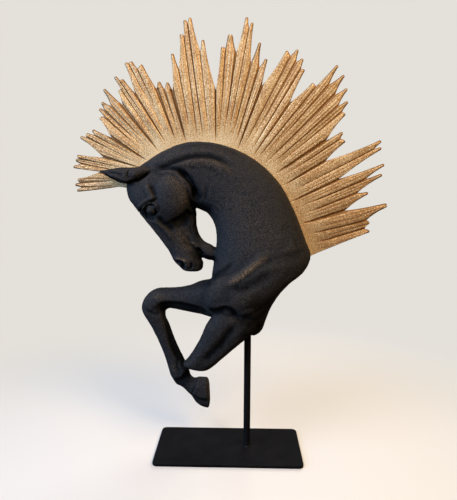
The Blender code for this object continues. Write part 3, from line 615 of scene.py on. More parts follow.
# Painted shade, besides that in the modelling's hollows: under the cheek, in the throat, mouth and nostril,
# by the eye and ear, under the shoulder's ridge, at the elbow and belly and down the legs: the same columns.
PAINTED_SHADE_STROKES = [
    ([(-62, 241), (-46, 241), (-36, 248), (-30, 260), (-24, 262)], 5, 14, 1, "both"),
    ([(-35, 268), (-31, 259), (-24, 255), (-14, 250)], 7, 8, 1, "both"),
    ([(-47, 289), (-39.5, 281.5), (-35.5, 275.5), (-33, 269), (-32.3, 261), (-34, 252), (-40, 246.5),
      (-50, 240), (-58, 238)], 3, 2, 0.9, "both"),
    ([(-37, 288), (-31, 278), (-28, 266)], 5, 2.5, 0.3, "both"),
    ([(-35, 254), (-33, 244), (-31.5, 234), (-29, 222)], 5, 9, 1, "both"),
    ([(-33, 216), (-29, 207), (-29, 194)], 6, 11, 0.75, "both"),
    ([(-26.5, 209), (-26, 201), (-27.5, 193)], 6, 6.5, 1, "both"),
    ([(-31, 213), (-27, 208.5), (-21, 204.6), (-12, 203)], 2.8, 7, 1, "both"),
    ([(-55, 200), (-44, 192)], 4, 5, 0.6, "both"),
    (LID_EDGE, 1.2, 1.2, 1, "both"),
    (EYE_CORNER, 1.4, 1.4, 0.8, "both"),
    ([(-80, 246), (-74, 244), (-67, 245.5), (-61, 238.5)], 2.5, 2.5, 0.6, "both"),
    (EAR_CREASE, 2, 2, 1, "both"),
    ([(-118, 286.3), (-112, 282), (-106, 279.5), (-100, 277)], 1.5, 2, 1, "both"),
    ([(2, 180), (8, 180.6), (14, 181.3), (22, 185), (32, 190.5)], 4.5, 7, 0.45, "both"),
    ([(-16, 156.5), (-8, 158), (-2, 160), (3, 158.5), (7, 154)], 3, 5, 0.7, "near"),
    ([(3, 181.5), (12, 180.3), (20, 183)], 4, 5, 0.7, "both"),
    ([(4, 150), (14, 149), (21, 148), (28, 151.5), (36, 158), (46, 170)], 6, 13, 0.9, "near"),
    ([(8, 135), (18, 136), (28, 137), (37, 143), (46, 153)], 14, 14, 0.9, "near"),
    ([(18, 172), (32, 163), (50, 172)], 14, 12, 0.6, "near"),
    ([(20, 134), (6, 121), (-10, 107)], 6, 6, 0.5, "near"),
    ([(10, 156), (-8, 132), (-34, 92)], 24, 24, 0.3, "near"),
    ([(-80, 146), (-68, 149), (-52, 148), (-40, 147)], 5, 8, 0.85, "far leg"),
    ([(-48, 147), (-34, 145), (-20, 141)], 4, 6, 0.45, "far leg"),
    ([(-69, 146), (-66, 130), (-62.5, 114.7), (-55.5, 97.5), (-49, 84), (-45, 78)],
     14, 2.5, 0.9, "far leg"),
    ([(-62, 66), (-51, 67), (-45, 73), (-41, 84)], 4, 7, 0.9, "far leg"),
    ([(-42, 44), (-32, 37), (-22, 35)], 13, 4, 1, "far leg"),
]
# Painted wax, light and shade also reach walls that look sideways, which a modelling tool leaves alone,
# and cover sooner.
PAINT_REACH, PAINT_COVER = -0.2, 2
# A hollow this deep, in mm, gets the full painted shade.
FULL_SHADE_DEPTH = 3
# Ridges and dips are how far a point stands out of the skin smoothed by so many rounds, in mm. A ridge
# counts from the first height over the next, and a dip gets painted shade over its depth, up to a share of
# the full shade.
RELIEF_ROUNDS = 25
RIDGE_FROM, RIDGE_RISE = 0.1, 0.3
DIP_DEPTH, DIP_MOST = 0.5, 0.4
points, normals = points_and_normals(thinned)


def painted(rows):
    """The strongest stroke at each point of the casting."""
    strokes = [nearness(points, route, left, right) * strength
               * np.minimum(PAINT_COVER * facing(points, normals, side, PAINT_REACH), 1)
               for route, left, right, strength, side in rows]
    return np.max(strokes, axis=0)


standing = relief(thinned, RELIEF_ROUNDS)
# The modelling's hollows get painted shade by their depth, and wax and painted light stay out of the shade.
shaded_hollows = [(route, left, right, -height / FULL_SHADE_DEPTH, side)
           for route, left, right, height, _, side in MODELLING if height < 0]
painted_shade_share = np.maximum(painted(shaded_hollows), painted(PAINTED_SHADE_STROKES))
dip_shade = np.clip(-standing / DIP_DEPTH, 0, DIP_MOST)
keep_values(thinned, "ridge", np.clip((standing - RIDGE_FROM) / RIDGE_RISE, 0, 1))
keep_values(thinned, "painted_shade", np.clip(painted_shade_share + dip_shade, 0, 1))
keep_values(thinned, "wax_and_painted_light", painted(WAX_AND_PAINTED_LIGHT) * (1 - painted_shade_share))

# Charcoal paint brushed on the resin: it gives the eye a dry, stony black with hardly a highlight, a little
# paler where the grain is worn, and specks of warm bronze where wax caught the grain. Black painted shade
# lies in the hollows, under the cheek and down the legs, and the bronze specks are also painted as light on
# the upper neck, cheek and shoulder. The grain is drawn coarser than the paint's own, so that it shows.
RESIN_BLACK, RESIN_WORN, RESIN_PAINTED_SHADE, BRONZE_WAX_AND_LIGHT = "#1b1c1f", "#3f4348", "#060607", "#7a644a"
GRAIN_WIDTH, GRAIN_HEIGHT = 1.1 * MM, 0.45 * MM
# How much bronze the strokes of wax and painted light, the ridges and the whole skin hold, from 0 to 1.
STROKE_WAX_AND_LIGHT, RIDGE_WAX, SKIN_WAX = 0.85, 0.08, 0.07
resin, tree, shader, where = new_finish("charcoal_painted_resin", Roughness=0.6, Specular_IOR_Level=0.11)
grain = add_node(tree, "TexNoise", {"Vector": where, "Scale": 1 / GRAIN_WIDTH, "Detail": 3,
                                    "Roughness": 0.6})
ridge = add_node(tree, "Attribute", attribute_name="ridge").outputs["Fac"]
# The painted shade's share, from 0 to 1.
painted_shade = add_node(tree, "Attribute", attribute_name="painted_shade").outputs["Fac"]
# The strokes of bronze wax, and of the same bronze painted as light.
wax_and_light_strokes = add_node(tree, "Attribute", attribute_name="wax_and_painted_light").outputs["Fac"]
worn = add_node(tree, "MapRange", {"Value": grain.outputs["Fac"], "From Min": 0.36, "From Max": 0.8,
                                   "To Max": 0.5})
paint = add_node(tree, "Mix", {0: worn.outputs[0], 6: linear(RESIN_BLACK), 7: linear(RESIN_WORN)},
                 data_type="RGBA")
ridge_rub = add_node(tree, "Math", {0: ridge, 1: RIDGE_WAX, 2: SKIN_WAX}, operation="MULTIPLY_ADD")
wax_and_light = add_node(tree, "Math", {0: wax_and_light_strokes, 1: STROKE_WAX_AND_LIGHT, 2: ridge_rub.outputs[0]}, operation="MULTIPLY_ADD")
specks = add_node(tree, "MapRange", {"Value": grain.outputs["Fac"], "From Min": 0.4, "From Max": 0.66})
wax_and_light_specks = add_node(tree, "Math", {0: specks.outputs[0], 1: wax_and_light.outputs[0]}, operation="MULTIPLY")
rubbed_and_lit = add_node(tree, "Mix", {0: wax_and_light_specks.outputs[0], 6: paint.outputs[2], 7: linear(BRONZE_WAX_AND_LIGHT)},
                  data_type="RGBA")
# Black painted shade goes over all of it.
in_painted_shade = add_node(tree, "Mix", {0: painted_shade, 6: rubbed_and_lit.outputs[2], 7: linear(RESIN_PAINTED_SHADE)}, data_type="RGBA")
tree.links.new(in_painted_shade.outputs[2], shader.inputs["Base Color"])
bump = add_node(tree, "Bump", {"Height": grain.outputs["Fac"], "Strength": 1, "Distance": GRAIN_HEIGHT})
tree.links.new(bump.outputs["Normal"], shader.inputs["Normal"])
thinned.materials.append(resin)

# The sunburst: one resin casting let into a slot along the crest, carved as a fan of overlapping rays.
# It is painted an antique gold that stays dark brown in the grooves and was dusted with pale gold on top.
# Painted shade darkens the grooves' walls, the rays' free sides and the low rays, and a painted highlight
# runs along the crest.
# Its thickness at the crest, at the tips and along a ray's edges, and how deep it sits in the slot, in mm.
ROOT_THICKNESS, TIP_THICKNESS, RIM_THICKNESS = 10, 3.6, 1.8
SEAT_DEPTH = 5
# The line where black meets gold, from the forehead over the poll and the crest to the withers.
ROOT_LINE = [
    (-102, 273.5),
    (-95, 287),
    (-80, 297.5),
    (-60, 309.3),
    (-40, 315.8),
    (-20, 316.5),
    (0, 311.3),
    (20, 302.3),
    (40, 287.5),
    (55, 269),
    (65, 248.5),
    (76, 221.5),
    (82, 207),
]
# The fan's tufts, clockwise: the place of its first edge along the root line, from 0 to 1, the notch before
# it, and its tips with the notches between them. The last row only closes the fan.
TUFTS = [
    (0.00, (-103, 273.8), [(-149.5, 269.3), (-144, 272), (-151, 274.8), (-146, 277), (-148.5, 279.6)]),
    (0.05, (-125, 287.4), [(-152, 292.3), (-144.5, 295), (-149.5, 298.6), (-145.5, 300.6), (-148, 302.6)]),
    (0.11, (-121.5, 301.2), [(-144, 320.6), (-137.5, 320.5), (-138, 323.6), (-129.5, 322.3), (-132, 327)]),
    (0.145, (-113, 319.8), [(-124.3, 339), (-119.5, 339.5), (-124.5, 347), (-119.5, 345.5), (-122, 353),
                           (-112.5, 349.3), (-119.5, 365)]),
    (0.195, (-101.3, 350), [(-105, 364.3), (-102.5, 364.5), (-108.5, 376.5), (-103.8, 373), (-102, 374)]),
    (0.235, (-89.3, 360.5), [(-98, 389), (-95, 388), (-93, 390), (-86.5, 383), (-83.5, 387.3)]),
    (0.265, (-69, 364.8), [(-67, 372), (-61.5, 364.5), (-59, 371.3)]),
    (0.30, (-53.5, 363.3), [(-53.8, 397), (-47.5, 382.5), (-45, 414.3), (-42.3, 411), (-41.8, 426.6),
                            (-39, 423.5), (-36.8, 428.6), (-27.5, 398.5), (-25, 409)]),
    (0.415, (-12.8, 363.5), [(-6.5, 403), (-4, 401), (0.8, 414), (6.3, 397), (16, 428.6), (18, 418.5),
                            (21, 424), (19.8, 388), (28.3, 406.4), (27.8, 384), (34.5, 392)]),
    (0.495, (30.5, 367.5), [(54, 399), (56.5, 394.2), (63.5, 400), (62, 388.5), (68.3, 392), (66.5, 381.7),
                           (69.8, 382.6)]),
    (0.555, (57, 352.3), [(79, 370), (81, 366.8), (101, 386), (93.3, 368.5), (107.2, 377), (99, 359.3),
                         (110.5, 365), (102.5, 349.3), (111.6, 353.3), (106, 343.3), (109.6, 342.4)]),
    (0.655, (92, 317.3), [(108, 325), (105.5, 319), (110.5, 317.4)]),
    (0.71, (92, 298), [(144.6, 317), (138, 309.5), (145, 310.6)]),
    (0.78, (105, 281), [(148.6, 295), (131, 281), (147, 285.5), (123.5, 268), (134.6, 268.2)]),
    (0.87, (112, 250.6), [(153.5, 256.6), (133.5, 241.8), (137.2, 239.6), (132, 233.6), (137.6, 231.3)]),
    (1.00, (84.5, 208.6), []),
]
# The smoothed root line's steps to each gap, and its points for the rays' roots and for distances from it.
ROOT_STEPS, ROOT_SAMPLES, CREST_SAMPLES = 12, 800, 400
# A ray's tip: its width, how far its sides bow in from a straight line, from 0 to 1, and how far short of
# its drawn place it stops, because the photographed edge glares past the real one. A few tips are blunt.
TIP_WIDTH, TIP_HOLLOW, TIP_GLARE = 2.6, 0.7, 0.6
BLUNT_TIPS = {(0.8, 414): 4.6, (-45, 414.3): 3.2, (-6.5, 403): 3, (153.5, 256.6): 4}
# Where a tip's end line starts to curve, as a share of the ray's free part, by how many of its half widths
# it curves, and how long the tip's fall to the rim is.
TIP_END, TIP_ROUND, TIP_FALL = 0.8, 0.7, 2
# Rows along a ray, up to its notches and past them, and columns across it, closest together at its edges.
INNER_ROWS, TIP_ROWS = 28, 15
COLUMNS = np.concatenate([[0, 0.02, 0.05], np.linspace(0.09, 0.91, 14), [0.95, 0.98, 1]])
# The fan thins over its reach. Beside the crest it is plain, and the rays rise out of it over the blend.
FAN_REACH, CREST_PLAIN, CREST_BLEND = 112, 4, 20
# The ranges of a ray's lift over its neighbours and its lean to one side, and the dome across it.
RAY_LIFT, RAY_LEAN = (-0.3, 0.4), (-0.6, 0.3)
DOME_SHARE, DOME_MOST, DOME_POWER = 0.08, 0.8, 2.5
# The grooves between tufts, and those between the rays of a tuft: where one starts along its ray, its depth
# as a share of the thickness there, its half width at the notch, and how late it opens.
TUFT_GROOVE = {"start": (0, 0.1), "depth": (0.5, 0.6), "width": (3, 3.9), "opening": 1.2}
RAY_GROOVE = {"start": (0, 0.4), "depth": (0.25, 0.4), "width": (1.2, 2), "opening": 1.6}
# The front tufts spring from the first share of the root line. Between their rays, grooves start later.
FRONT_ROOTS, FRONT_LATER = 0.3, 0.3
# A groove opens from a knife's line into a flat wedge with steep walls, cut to its full depth after one
# part in so many of its length. It takes at most this share of its ray's width, and a little to spare.
KNIFE_WIDTH, WALL_SLOPE, CUT_ONE_IN = 0.4, 1.7, 6
WIDEST_SHARE, WIDEST_SPARE = 0.46, 0.1
# A free side is rounded this far in. The groove's wall turns into it over a share of the free part.
EDGE_ROUND, EDGE_POWER, EDGE_BLEND = 1.8, 1.6, 0.12
# The brown wash, with painted shade on a groove's walls: how far it runs over a groove's edge and where it
# ends there, how much paler it is on the inner share of the bed, away from the walls' shade, in how short a
# part it sets in, and how dark wash and painted shade lie on a free side and the rim.
WASH_AND_SHADE_OVER, WASH_AND_SHADE_EDGE, BED_PALER, BED_SHARE, WASH_AND_SHADE_ONE_IN = 0.3, 1.15, 0.4, 0.5, 4
SIDE_DARK, SIDE_POWER, RIM_DARK = 1.2, 1.3, 0.9
# The lines scored along a ray: the widths from which it has one and two, how far they stray from an even
# spacing, the ranges of their start, end, depth, half width and darkness, and how long their ends are.
SCORED_FROM, SCORED_STRAY, SCORED_LEAD, SCORED_TAIL = (5.4, 9), 0.13, 0.3, 0.35
SCORED_START, SCORED_END = (0.05, 0.5), (1.55, 1.98)
SCORED_DEPTH, SCORED_HALF, SCORED_DARK = (0.3, 0.6), (1.2, 1.8), (0.25, 0.6)
# The paste's unevenness, the layer of the noise that gives it, and the least half thickness.
WOBBLE_WIDTH, WOBBLE_HEIGHT, WOBBLE_LAYER, LEAST_HALF = 2.4, 0.14, 3.7, 0.5
# How far the pale dusting spreads from the crest, with a painted highlight at its very edge, and the angle
# over which edges stay crisp, in degrees.
DUSTING_WIDTH, RAY_CRISP = 26, 60
dice = np.random.default_rng(7)


def lath_table():
    """The fan's tips, and the edges between which they stand: each its root, its notch and its groove."""
    edges, tips = [], []
    for (root, notch, outline), following in zip(TUFTS, TUFTS[1:]):
        laths = (len(outline) + 1) // 2
        step = (following[0] - root) / laths
        for i in range(laths):
            if i == 0:
                edges.append((root, notch, TUFT_GROOVE))
            else:
                edges.append((root + step * i, outline[2 * i - 1], RAY_GROOVE))
            tips.append(outline[2 * i])
    edges.append((*TUFTS[-1][:2], TUFT_GROOVE))
    return edges, tips


def root_points(inset, count):
    """The root line moved into the neck by the inset, as evenly spaced points."""
    line = filled(ROOT_LINE, ROOT_STEPS)
    lengths = lengths_along(line)
    shares = np.linspace(0, 1, count)
    points = np.column_stack([np.interp(shares, lengths / lengths[-1], line[:, i]) for i in (0, 1)])
    along = np.gradient(points, axis=0)
    along /= np.linalg.norm(along, axis=1)[:, None]
    return points + np.column_stack([along[:, 1], -along[:, 0]]) * inset


def drawn(measure):
    """One draw for each edge, from its groove's range of that measure."""
    return np.array([dice.uniform(*groove[measure]) for _, _, groove in edges])


edges, tips = lath_table()
roots = root_points(SEAT_DEPTH, ROOT_SAMPLES)
# Every fourth point of the crest is close enough to measure from.
crest = root_points(0, CREST_SAMPLES)[::4]
inner = np.linspace(0, 1, INNER_ROWS + 1)
outer = np.linspace(0, 1, TIP_ROWS + 1)[1:]
# Along a ray: 0 at its root, 1 at its notches and 2 at its tip. Its free part is past the notches.
place = np.concatenate([inner, 1 + outer])[:, None]
free = np.clip(place - 1, 0, 1)
across = 2 * COLUMNS - 1
groove_start, groove_depth, groove_width = drawn("start"), drawn("depth"), drawn("width")
groove_start += [FRONT_LATER if root < FRONT_ROOTS and groove is RAY_GROOVE else 0
                 for root, _, groove in edges]


def tip_side(notch, tip, direction, offset):
    """The side of a ray's free end, nearly straight, from its notch to one corner of its tip."""
    corner = tip + np.array([-direction[1], direction[0]]) * offset
    along = corner - direction * ((corner - notch) @ direction) / 2
    knee = (notch + corner) / 2 * (1 - TIP_HOLLOW) + along * TIP_HOLLOW
    t = outer[:, None]
    return (1 - t) ** 2 * notch + 2 * t * (1 - t) * knee + t**2 * corner


def ray_outline(k, tip):
    """A ray's left and right side, its direction, its top and its tip's half width."""
    ends = [(roots[round(root * (len(roots) - 1))], np.array(notch, float))
            for root, notch, _ in edges[k:k + 2]]
    direction = np.array(tip) - (ends[0][0] + ends[1][0]) / 2
    direction /= np.linalg.norm(direction)
    top = np.array(tip) - direction * TIP_GLARE
    half_width = BLUNT_TIPS.get(tip, TIP_WIDTH) / 2
    sides = [np.vstack([start + (notch - start) * inner[:, None], tip_side(notch, top, direction, offset)])
             for (start, notch), offset in zip(ends, (half_width, -half_width))]
    return *sides, direction, top, half_width


def eased(values):
    """0 to 1 with a soft start and a soft stop."""
    t = np.clip(values, 0, 1)
    return t * t * (3 - 2 * t)


def crest_distance(points):
    """How far each point is from the line where black meets gold, in mm."""
    return np.sqrt(((points[:, None, :] - crest[None, :, :]) ** 2).sum(2)).min(1)


def scored(height, dark, width, notch_width):
    """A ray's height and darkness with the lines scored along it."""
    strips = 1 + sum(int(notch_width > least) for least in SCORED_FROM)
    for i in range(1, strips):
        line = (i + dice.uniform(-SCORED_STRAY, SCORED_STRAY)) / strips
        begin, end = dice.uniform(*SCORED_START), dice.uniform(*SCORED_END)
        depth, half = dice.uniform(*SCORED_DEPTH), dice.uniform(*SCORED_HALF)
        present = eased((place - begin) / SCORED_LEAD) * eased((end - place) / SCORED_TAIL)
        cut = eased(1 - np.abs(COLUMNS - line) * width / half) * present
        height = height - depth * cut
        dark = np.maximum(dark, dice.uniform(*SCORED_DARK) * cut)
    return height, dark


def grooved(height, dark, base, width, k):
    """A ray's height and darkness with the groove at each of its two edges, and its free sides rounded."""
    for edge, away in ((k, COLUMNS * width), (k + 1, (1 - COLUMNS) * width)):
        run = np.clip((place - groove_start[edge]) / (1 - groove_start[edge]), 0, 1)
        wide = KNIFE_WIDTH + (groove_width[edge] - KNIFE_WIDTH) * run ** edges[edge][2]["opening"]
        wide = np.minimum(wide, WIDEST_SHARE * width + WIDEST_SPARE)
        bed = np.maximum(base * (1 - groove_depth[edge] * run**0.5), RIM_THICKNESS / 2)
        wedge = eased(WALL_SLOPE * (1 - away / wide))
        cut = height + (bed - height) * wedge * np.minimum(1, run * CUT_ONE_IN)
        nearly = np.clip(1 - away / EDGE_ROUND, 0, 1)
        rounded = height + (RIM_THICKNESS / 2 - height) * nearly**EDGE_POWER
        height = cut + (rounded - cut) * eased(free / EDGE_BLEND)
        # The wash carries painted shade on the wall, so it is darkest there and paler on the bed as the
        # groove opens. On a free side, wash and painted shade lie together.
        from_bed = away / (wide + WASH_AND_SHADE_OVER)
        paling = 1 - BED_PALER * run * (1 - eased(from_bed / BED_SHARE))
        sets_in = np.minimum(1, run * WASH_AND_SHADE_ONE_IN)
        in_groove = np.clip(WALL_SLOPE * (WASH_AND_SHADE_EDGE - from_bed), 0, 1) * paling * sets_in
        on_side = np.clip(SIDE_DARK * nearly, 0, 1) ** SIDE_POWER
        dark = np.maximum(dark, in_groove + (on_side - in_groove) * eased(free / EDGE_BLEND))
    return height, dark


vertices, quads, grooves_at, crest_at = [], [], [], []
edge_index = {}
for k, tip in enumerate(tips):
    left, right, direction, top, half_width = ray_outline(k, tip)
    rows = len(left)
    width = np.linalg.norm(right - left, axis=1)[:, None]
    grid = left[:, None, :] + (right - left)[:, None, :] * COLUMNS[None, :, None]
    # A pointed tip ends in a curve, and a blunt one in two small points.
    end_line = -0.5 * np.cos(2 * math.pi * across) - 0.5 if tip in BLUNT_TIPS else -across**2
    end_share = np.clip((free - TIP_END) / (1 - TIP_END), 0, 1)
    grid += (end_line * end_share * half_width * TIP_ROUND)[:, :, None] * direction
    flat = grid.reshape(-1, 2)
    from_crest = crest_distance(flat).reshape(rows, -1)
    reach = np.clip(from_crest / FAN_REACH, 0, 1)
    base = ROOT_THICKNESS / 2 + (TIP_THICKNESS - ROOT_THICKNESS) / 2 * reach
    out_of_crest = eased((from_crest - CREST_PLAIN) / CREST_BLEND)
    rise = dice.uniform(*RAY_LIFT) + dice.uniform(*RAY_LEAN) * across
    dome = np.minimum(DOME_SHARE * width, DOME_MOST) * (1 - np.abs(across) ** DOME_POWER)
    height = base + (rise + dome) * out_of_crest
    height, dark = scored(height, np.zeros_like(height), width, width[INNER_ROWS, 0])
    height, dark = grooved(height, dark, base, width, k)
    to_end = (1 - free) * np.linalg.norm(top - (left[INNER_ROWS] + right[INNER_ROWS]) / 2)
    cap = np.sqrt(np.clip(1 - np.clip(1 - to_end / TIP_FALL, 0, 1) ** 2, 0, 1))
    height = RIM_THICKNESS / 2 + (height - RIM_THICKNESS / 2) * cap
    # The tip's fall to the rim gets wash and painted shade.
    dark = np.maximum(dark, RIM_DARK * (1 - cap))
    # The first row lies in the slot.
    height[0] = ROOT_THICKNESS / 2
    wobble = [noise.noise((x / WOBBLE_WIDTH, z / WOBBLE_WIDTH, WOBBLE_LAYER)) for x, z in flat]
    wobble = np.array(wobble).reshape(rows, -1) * out_of_crest
    height = np.maximum(height + WOBBLE_HEIGHT * wobble, LEAST_HALF)
    # Two neighbours share the points of the edge between them, up to their notch.
    index = np.empty(height.shape, int)
    for r in range(rows):
        for c, share in enumerate(COLUMNS):
            key = (k + int(share), r) if share in (0, 1) and r <= INNER_ROWS else None
            if key is not None and key in edge_index:
                index[r, c] = edge_index[key]
                continue
            index[r, c] = len(vertices)
            if key is not None:
                edge_index[key] = len(vertices)
            vertices.append((grid[r, c, 0], -height[r, c], grid[r, c, 1]))
            grooves_at.append(dark[r, c])
            crest_at.append(from_crest[r, c])
    for r in range(rows - 1):
        for c in range(len(COLUMNS) - 1):
            quads.append((index[r, c], index[r, c + 1], index[r + 1, c + 1], index[r + 1, c]))

# The outline's wall runs back to the middle plane, where the mirrored far side meets it.
vertices, quads = np.array(vertices), np.array(quads)
directed = np.vstack([quads[:, [i, (i + 1) % 4]] for i in range(4)])
keys = directed[:, 0] * len(vertices) + directed[:, 1]
back = directed[:, 1] * len(vertices) + directed[:, 0]
rim = directed[~np.isin(keys, back)]
rim_points = np.unique(rim)
behind = np.zeros(len(vertices), int)
behind[rim_points] = np.arange(len(rim_points)) + len(vertices)
walls = np.column_stack([rim[:, 1], rim[:, 0], behind[rim[:, 0]], behind[rim[:, 1]]])
all_points = np.vstack([vertices, vertices[rim_points] * (1, 0, 1)]) * MM
all_faces = np.vstack([quads, walls])

# Antique gold paint: brass powder in a matt lacquer, sponged over the brown. It gives the eye sandy specks
# of cream, tan and umber, palest by the crest, with a painted highlight along the crest's very edge. The
# specks are darker the lower they lie, as painted shade. The specks are drawn coarser than real ones, so
# that they show.
GOLD_PALE, GOLD_TAN, GOLD_UMBER = "#f2d8a8", "#d4ab73", "#a07446"
GOLD_BROWN, GOLD_DEEP, GOLD_RIM_HIGHLIGHT = "#9c6e39", "#6c441a", "#f6cd92"
SAND_WIDTH, SAND_HEIGHT, PATCH_WIDTH = 1.2 * MM, 0.28 * MM, 20 * MM
# How much the crest's dusting and the sponge's patches lift the specks, and how much painted shade lowers
# them below and above these heights.
CREST_LIFT, PATCH_LIFT = 0.09, 0.25
BROWNER_BELOW, PALER_ABOVE = 220 * MM, 330 * MM
SHADE_BELOW, SHADE_ABOVE = -0.1, -0.015
gold, tree, shader, where = new_finish("antique_gold_paint", Roughness=0.5, Metallic=0.25)
sand = add_node(tree, "TexNoise", {"Vector": where, "Scale": 1 / SAND_WIDTH, "Detail": 3,
                                   "Roughness": 0.7})
patch = add_node(tree, "TexNoise", {"Vector": where, "Scale": 1 / PATCH_WIDTH, "Detail": 3})
groove = add_node(tree, "Attribute", attribute_name="groove").outputs["Fac"]
dusting_and_highlight = add_node(tree, "Attribute", attribute_name="crest").outputs["Fac"]
heights = add_node(tree, "SeparateXYZ", {"Vector": where})
low_shade = add_node(tree, "MapRange", {"Value": heights.outputs["Z"], "From Min": BROWNER_BELOW,
                                       "From Max": PALER_ABOVE, "To Min": SHADE_BELOW,
                                       "To Max": SHADE_ABOVE})
sandy = add_node(tree, "Math", {0: sand.outputs["Fac"], 1: low_shade.outputs[0]}, operation="ADD")
dusted = add_node(tree, "Math", {0: dusting_and_highlight, 1: CREST_LIFT, 2: sandy.outputs[0]},
                  operation="MULTIPLY_ADD")
patchy = add_node(tree, "Math", {0: patch.outputs["Fac"], 1: PATCH_LIFT, 2: dusted.outputs[0]},
                  operation="MULTIPLY_ADD")
speckle = add_node(tree, "ValToRGB", {"Fac": patchy.outputs[0]},
                   [(0.5, linear(GOLD_UMBER)), (0.76, linear(GOLD_PALE)), (0.62, linear(GOLD_TAN))])
wash_and_shade_share = add_node(tree, "MapRange", {"Value": groove, "From Min": 0.1, "From Max": 0.85})
wash_and_shade = add_node(tree, "Mix", {0: wash_and_shade_share.outputs[0], 6: speckle.outputs[0], 7: linear(GOLD_BROWN)},
                data_type="RGBA")
# The deepest share is the wash's darkest brown together with the painted shade on walls, sides and rim.
deepest = add_node(tree, "MapRange", {"Value": groove, "From Min": 0.8, "From Max": 1.0, "To Max": 0.75})
antique = add_node(tree, "Mix", {0: deepest.outputs[0], 6: wash_and_shade.outputs[2], 7: linear(GOLD_DEEP)},
                   data_type="RGBA")
# A painted highlight along the crest's very edge.
rim_highlight_share = add_node(tree, "MapRange", {"Value": dusting_and_highlight, "From Min": 0.91, "From Max": 0.98,
                                        "To Max": 0.6})
with_rim_highlight = add_node(tree, "Mix", {0: rim_highlight_share.outputs[0], 6: antique.outputs[2], 7: linear(GOLD_RIM_HIGHLIGHT)},
                 data_type="RGBA")
tree.links.new(with_rim_highlight.outputs[2], shader.inputs["Base Color"])
bump = add_node(tree, "Bump", {"Height": sand.outputs["Fac"], "Strength": 0.7, "Distance": SAND_HEIGHT})
tree.links.new(bump.outputs["Normal"], shader.inputs["Normal"])

fan = new_piece("sunburst_rays", all_points, all_faces, gold, "gold_resin")
crest_at = np.concatenate([crest_at, np.array(crest_at)[rim_points]])
# The outline's walls get wash and painted shade.
keep_values(fan.data, "groove", np.concatenate([grooves_at, np.full(len(rim_points), RIM_DARK)]))
keep_values(fan.data, "crest", np.clip(1 - crest_at / DUSTING_WIDTH, 0, 1))
fan.data.set_sharp_from_angle(angle=math.radians(RAY_CRISP))
fan_mirror = fan.modifiers.new("Far side", "MIRROR")
fan_mirror.use_axis = (False, True, False)
fan_mirror.merge_threshold = 0.01 * MM
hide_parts("sunburst_mane")

# The studio: a plain pale floor of matt paper that fades into an even backdrop, lit as in the photograph: a
# warm lamp from the upper right, two cool windows from the left and a soft one behind. The camera sees the
# paper pale, and what it throws up under the horse stays dim.
BACKDROP, FLOOR_BOUNCE = "#e4e0da", "#3c342e"
# The floor's half side, and the distances between which it fades into the backdrop, in metres.
FLOOR_REACH, FADE_FROM, FADE_TO = 12, 0.1, 0.5
# How strongly the backdrop itself lights the object.
WORLD_FILL = 0.14
backdrop = linear(BACKDROP)
corners = [(x * FLOOR_REACH, y * FLOOR_REACH, 0) for x, y in ((-1, -1), (1, -1), (1, 1), (-1, 1))]
floor_mesh = bpy.data.meshes.new("floor")
floor_mesh.from_pydata(corners, [], [(0, 1, 2, 3)])
floor = add_object("floor", floor_mesh)
floor_paint, tree, shader, where = new_finish("pale_floor", Roughness=0.9, Specular_IOR_Level=0.1)
seen = add_node(tree, "LightPath").outputs["Is Camera Ray"]
paper = add_node(tree, "Mix", {0: seen, 6: linear(FLOOR_BOUNCE), 7: backdrop}, data_type="RGBA")
tree.links.new(paper.outputs[2], shader.inputs["Base Color"])
from_middle = add_node(tree, "VectorMath", {0: where}, operation="LENGTH")
fade = add_node(tree, "MapRange", {"Value": from_middle.outputs["Value"], "From Min": FADE_FROM,
                                   "From Max": FADE_TO}, interpolation_type="SMOOTHSTEP")
seen_fade = add_node(tree, "Math", {0: fade.outputs[0], 1: seen}, operation="MULTIPLY")
glow = add_node(tree, "Emission", {"Color": backdrop})
faded = add_node(tree, "MixShader", {0: seen_fade.outputs[0], 1: shader.outputs[0], 2: glow.outputs[0]})
tree.links.new(faded.outputs[0], tree.nodes["Material Output"].inputs["Surface"])
floor_mesh.materials.append(floor_paint)

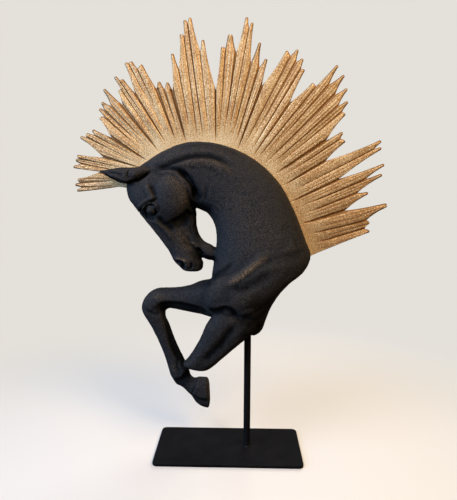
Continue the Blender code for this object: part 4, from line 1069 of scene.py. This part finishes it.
world = bpy.data.worlds.new("studio")
bpy.context.scene.world = world
world.use_nodes = True
tree = world.node_tree
fill = tree.nodes["Background"]
fill.inputs["Color"].default_value = backdrop
fill.inputs["Strength"].default_value = WORLD_FILL
plain = add_node(tree, "Background", {"Color": backdrop, "Strength": 1})
seen = add_node(tree, "LightPath").outputs["Is Camera Ray"]
mixed = add_node(tree, "MixShader", {0: seen, 1: fill.outputs[0], 2: plain.outputs[0]})
tree.links.new(mixed.outputs[0], tree.nodes["World Output"].inputs["Surface"])

# Each light's place and size in metres, its watts and its colour. They aim at the middle of the figure.
LAMP_AIM = Vector((0, 0, 0.22))
LAMPS = [
    ("warm lamp", (0.6, -0.6, 1.0), 0.5, 10.4, "#ffddaa"),
    ("near window", (-0.4, -0.45, 0.85), 0.5, 4.9, "#e4eaff"),
    ("far window", (-0.9, -0.5, 0.45), 0.7, 9.4, "#9ecbff"),
    ("back window", (0.35, 0.9, 0.75), 0.8, 12, "#f3efe8"),
]
for name, place, size, watts, colour in LAMPS:
    light = bpy.data.lights.new(name, "AREA")
    light.size = size
    light.energy = watts
    light.color = linear(colour)[:3]
    lamp = add_object(name, light)
    lamp.location = place
    lamp.rotation_euler = (LAMP_AIM - lamp.location).to_track_quat("-Z", "Y").to_euler()
    lamp.visible_camera = False
    # The back window's reflection would lie right across the plate's top.
    lamp.visible_glossy = name != "back window"

# The camera, where the photograph was taken from: its place in metres, and how it was turned, in degrees.
# The frame is taller than it is wide, so the sensor's width lies along its height.
CAMERA_PLACE = (0.01041, -0.45556, 0.27887)
YAW, PITCH, ROLL = (math.radians(v) for v in (-1.375, 8.432, 0.165))
FOCAL_PIXELS, LONG_SIDE_PIXELS, SENSOR_MM = 465, 500, 36
ahead = Vector((math.sin(YAW) * math.cos(PITCH), math.cos(YAW) * math.cos(PITCH), -math.sin(PITCH)))
level = Vector((math.cos(YAW), -math.sin(YAW), 0))
upright = level.cross(ahead)
image_right = level * math.cos(ROLL) + upright * math.sin(ROLL)
image_up = upright * math.cos(ROLL) - level * math.sin(ROLL)
lens = bpy.data.cameras.new("camera")
lens.sensor_width = SENSOR_MM
lens.lens = SENSOR_MM * FOCAL_PIXELS / LONG_SIDE_PIXELS
camera = add_object("camera", lens)
turned = Matrix((image_right, image_up, -ahead)).transposed().to_4x4()
camera.matrix_world = Matrix.Translation(CAMERA_PLACE) @ turned
bpy.context.scene.camera = camera
bpy.context.scene.view_settings.view_transform = "Standard"
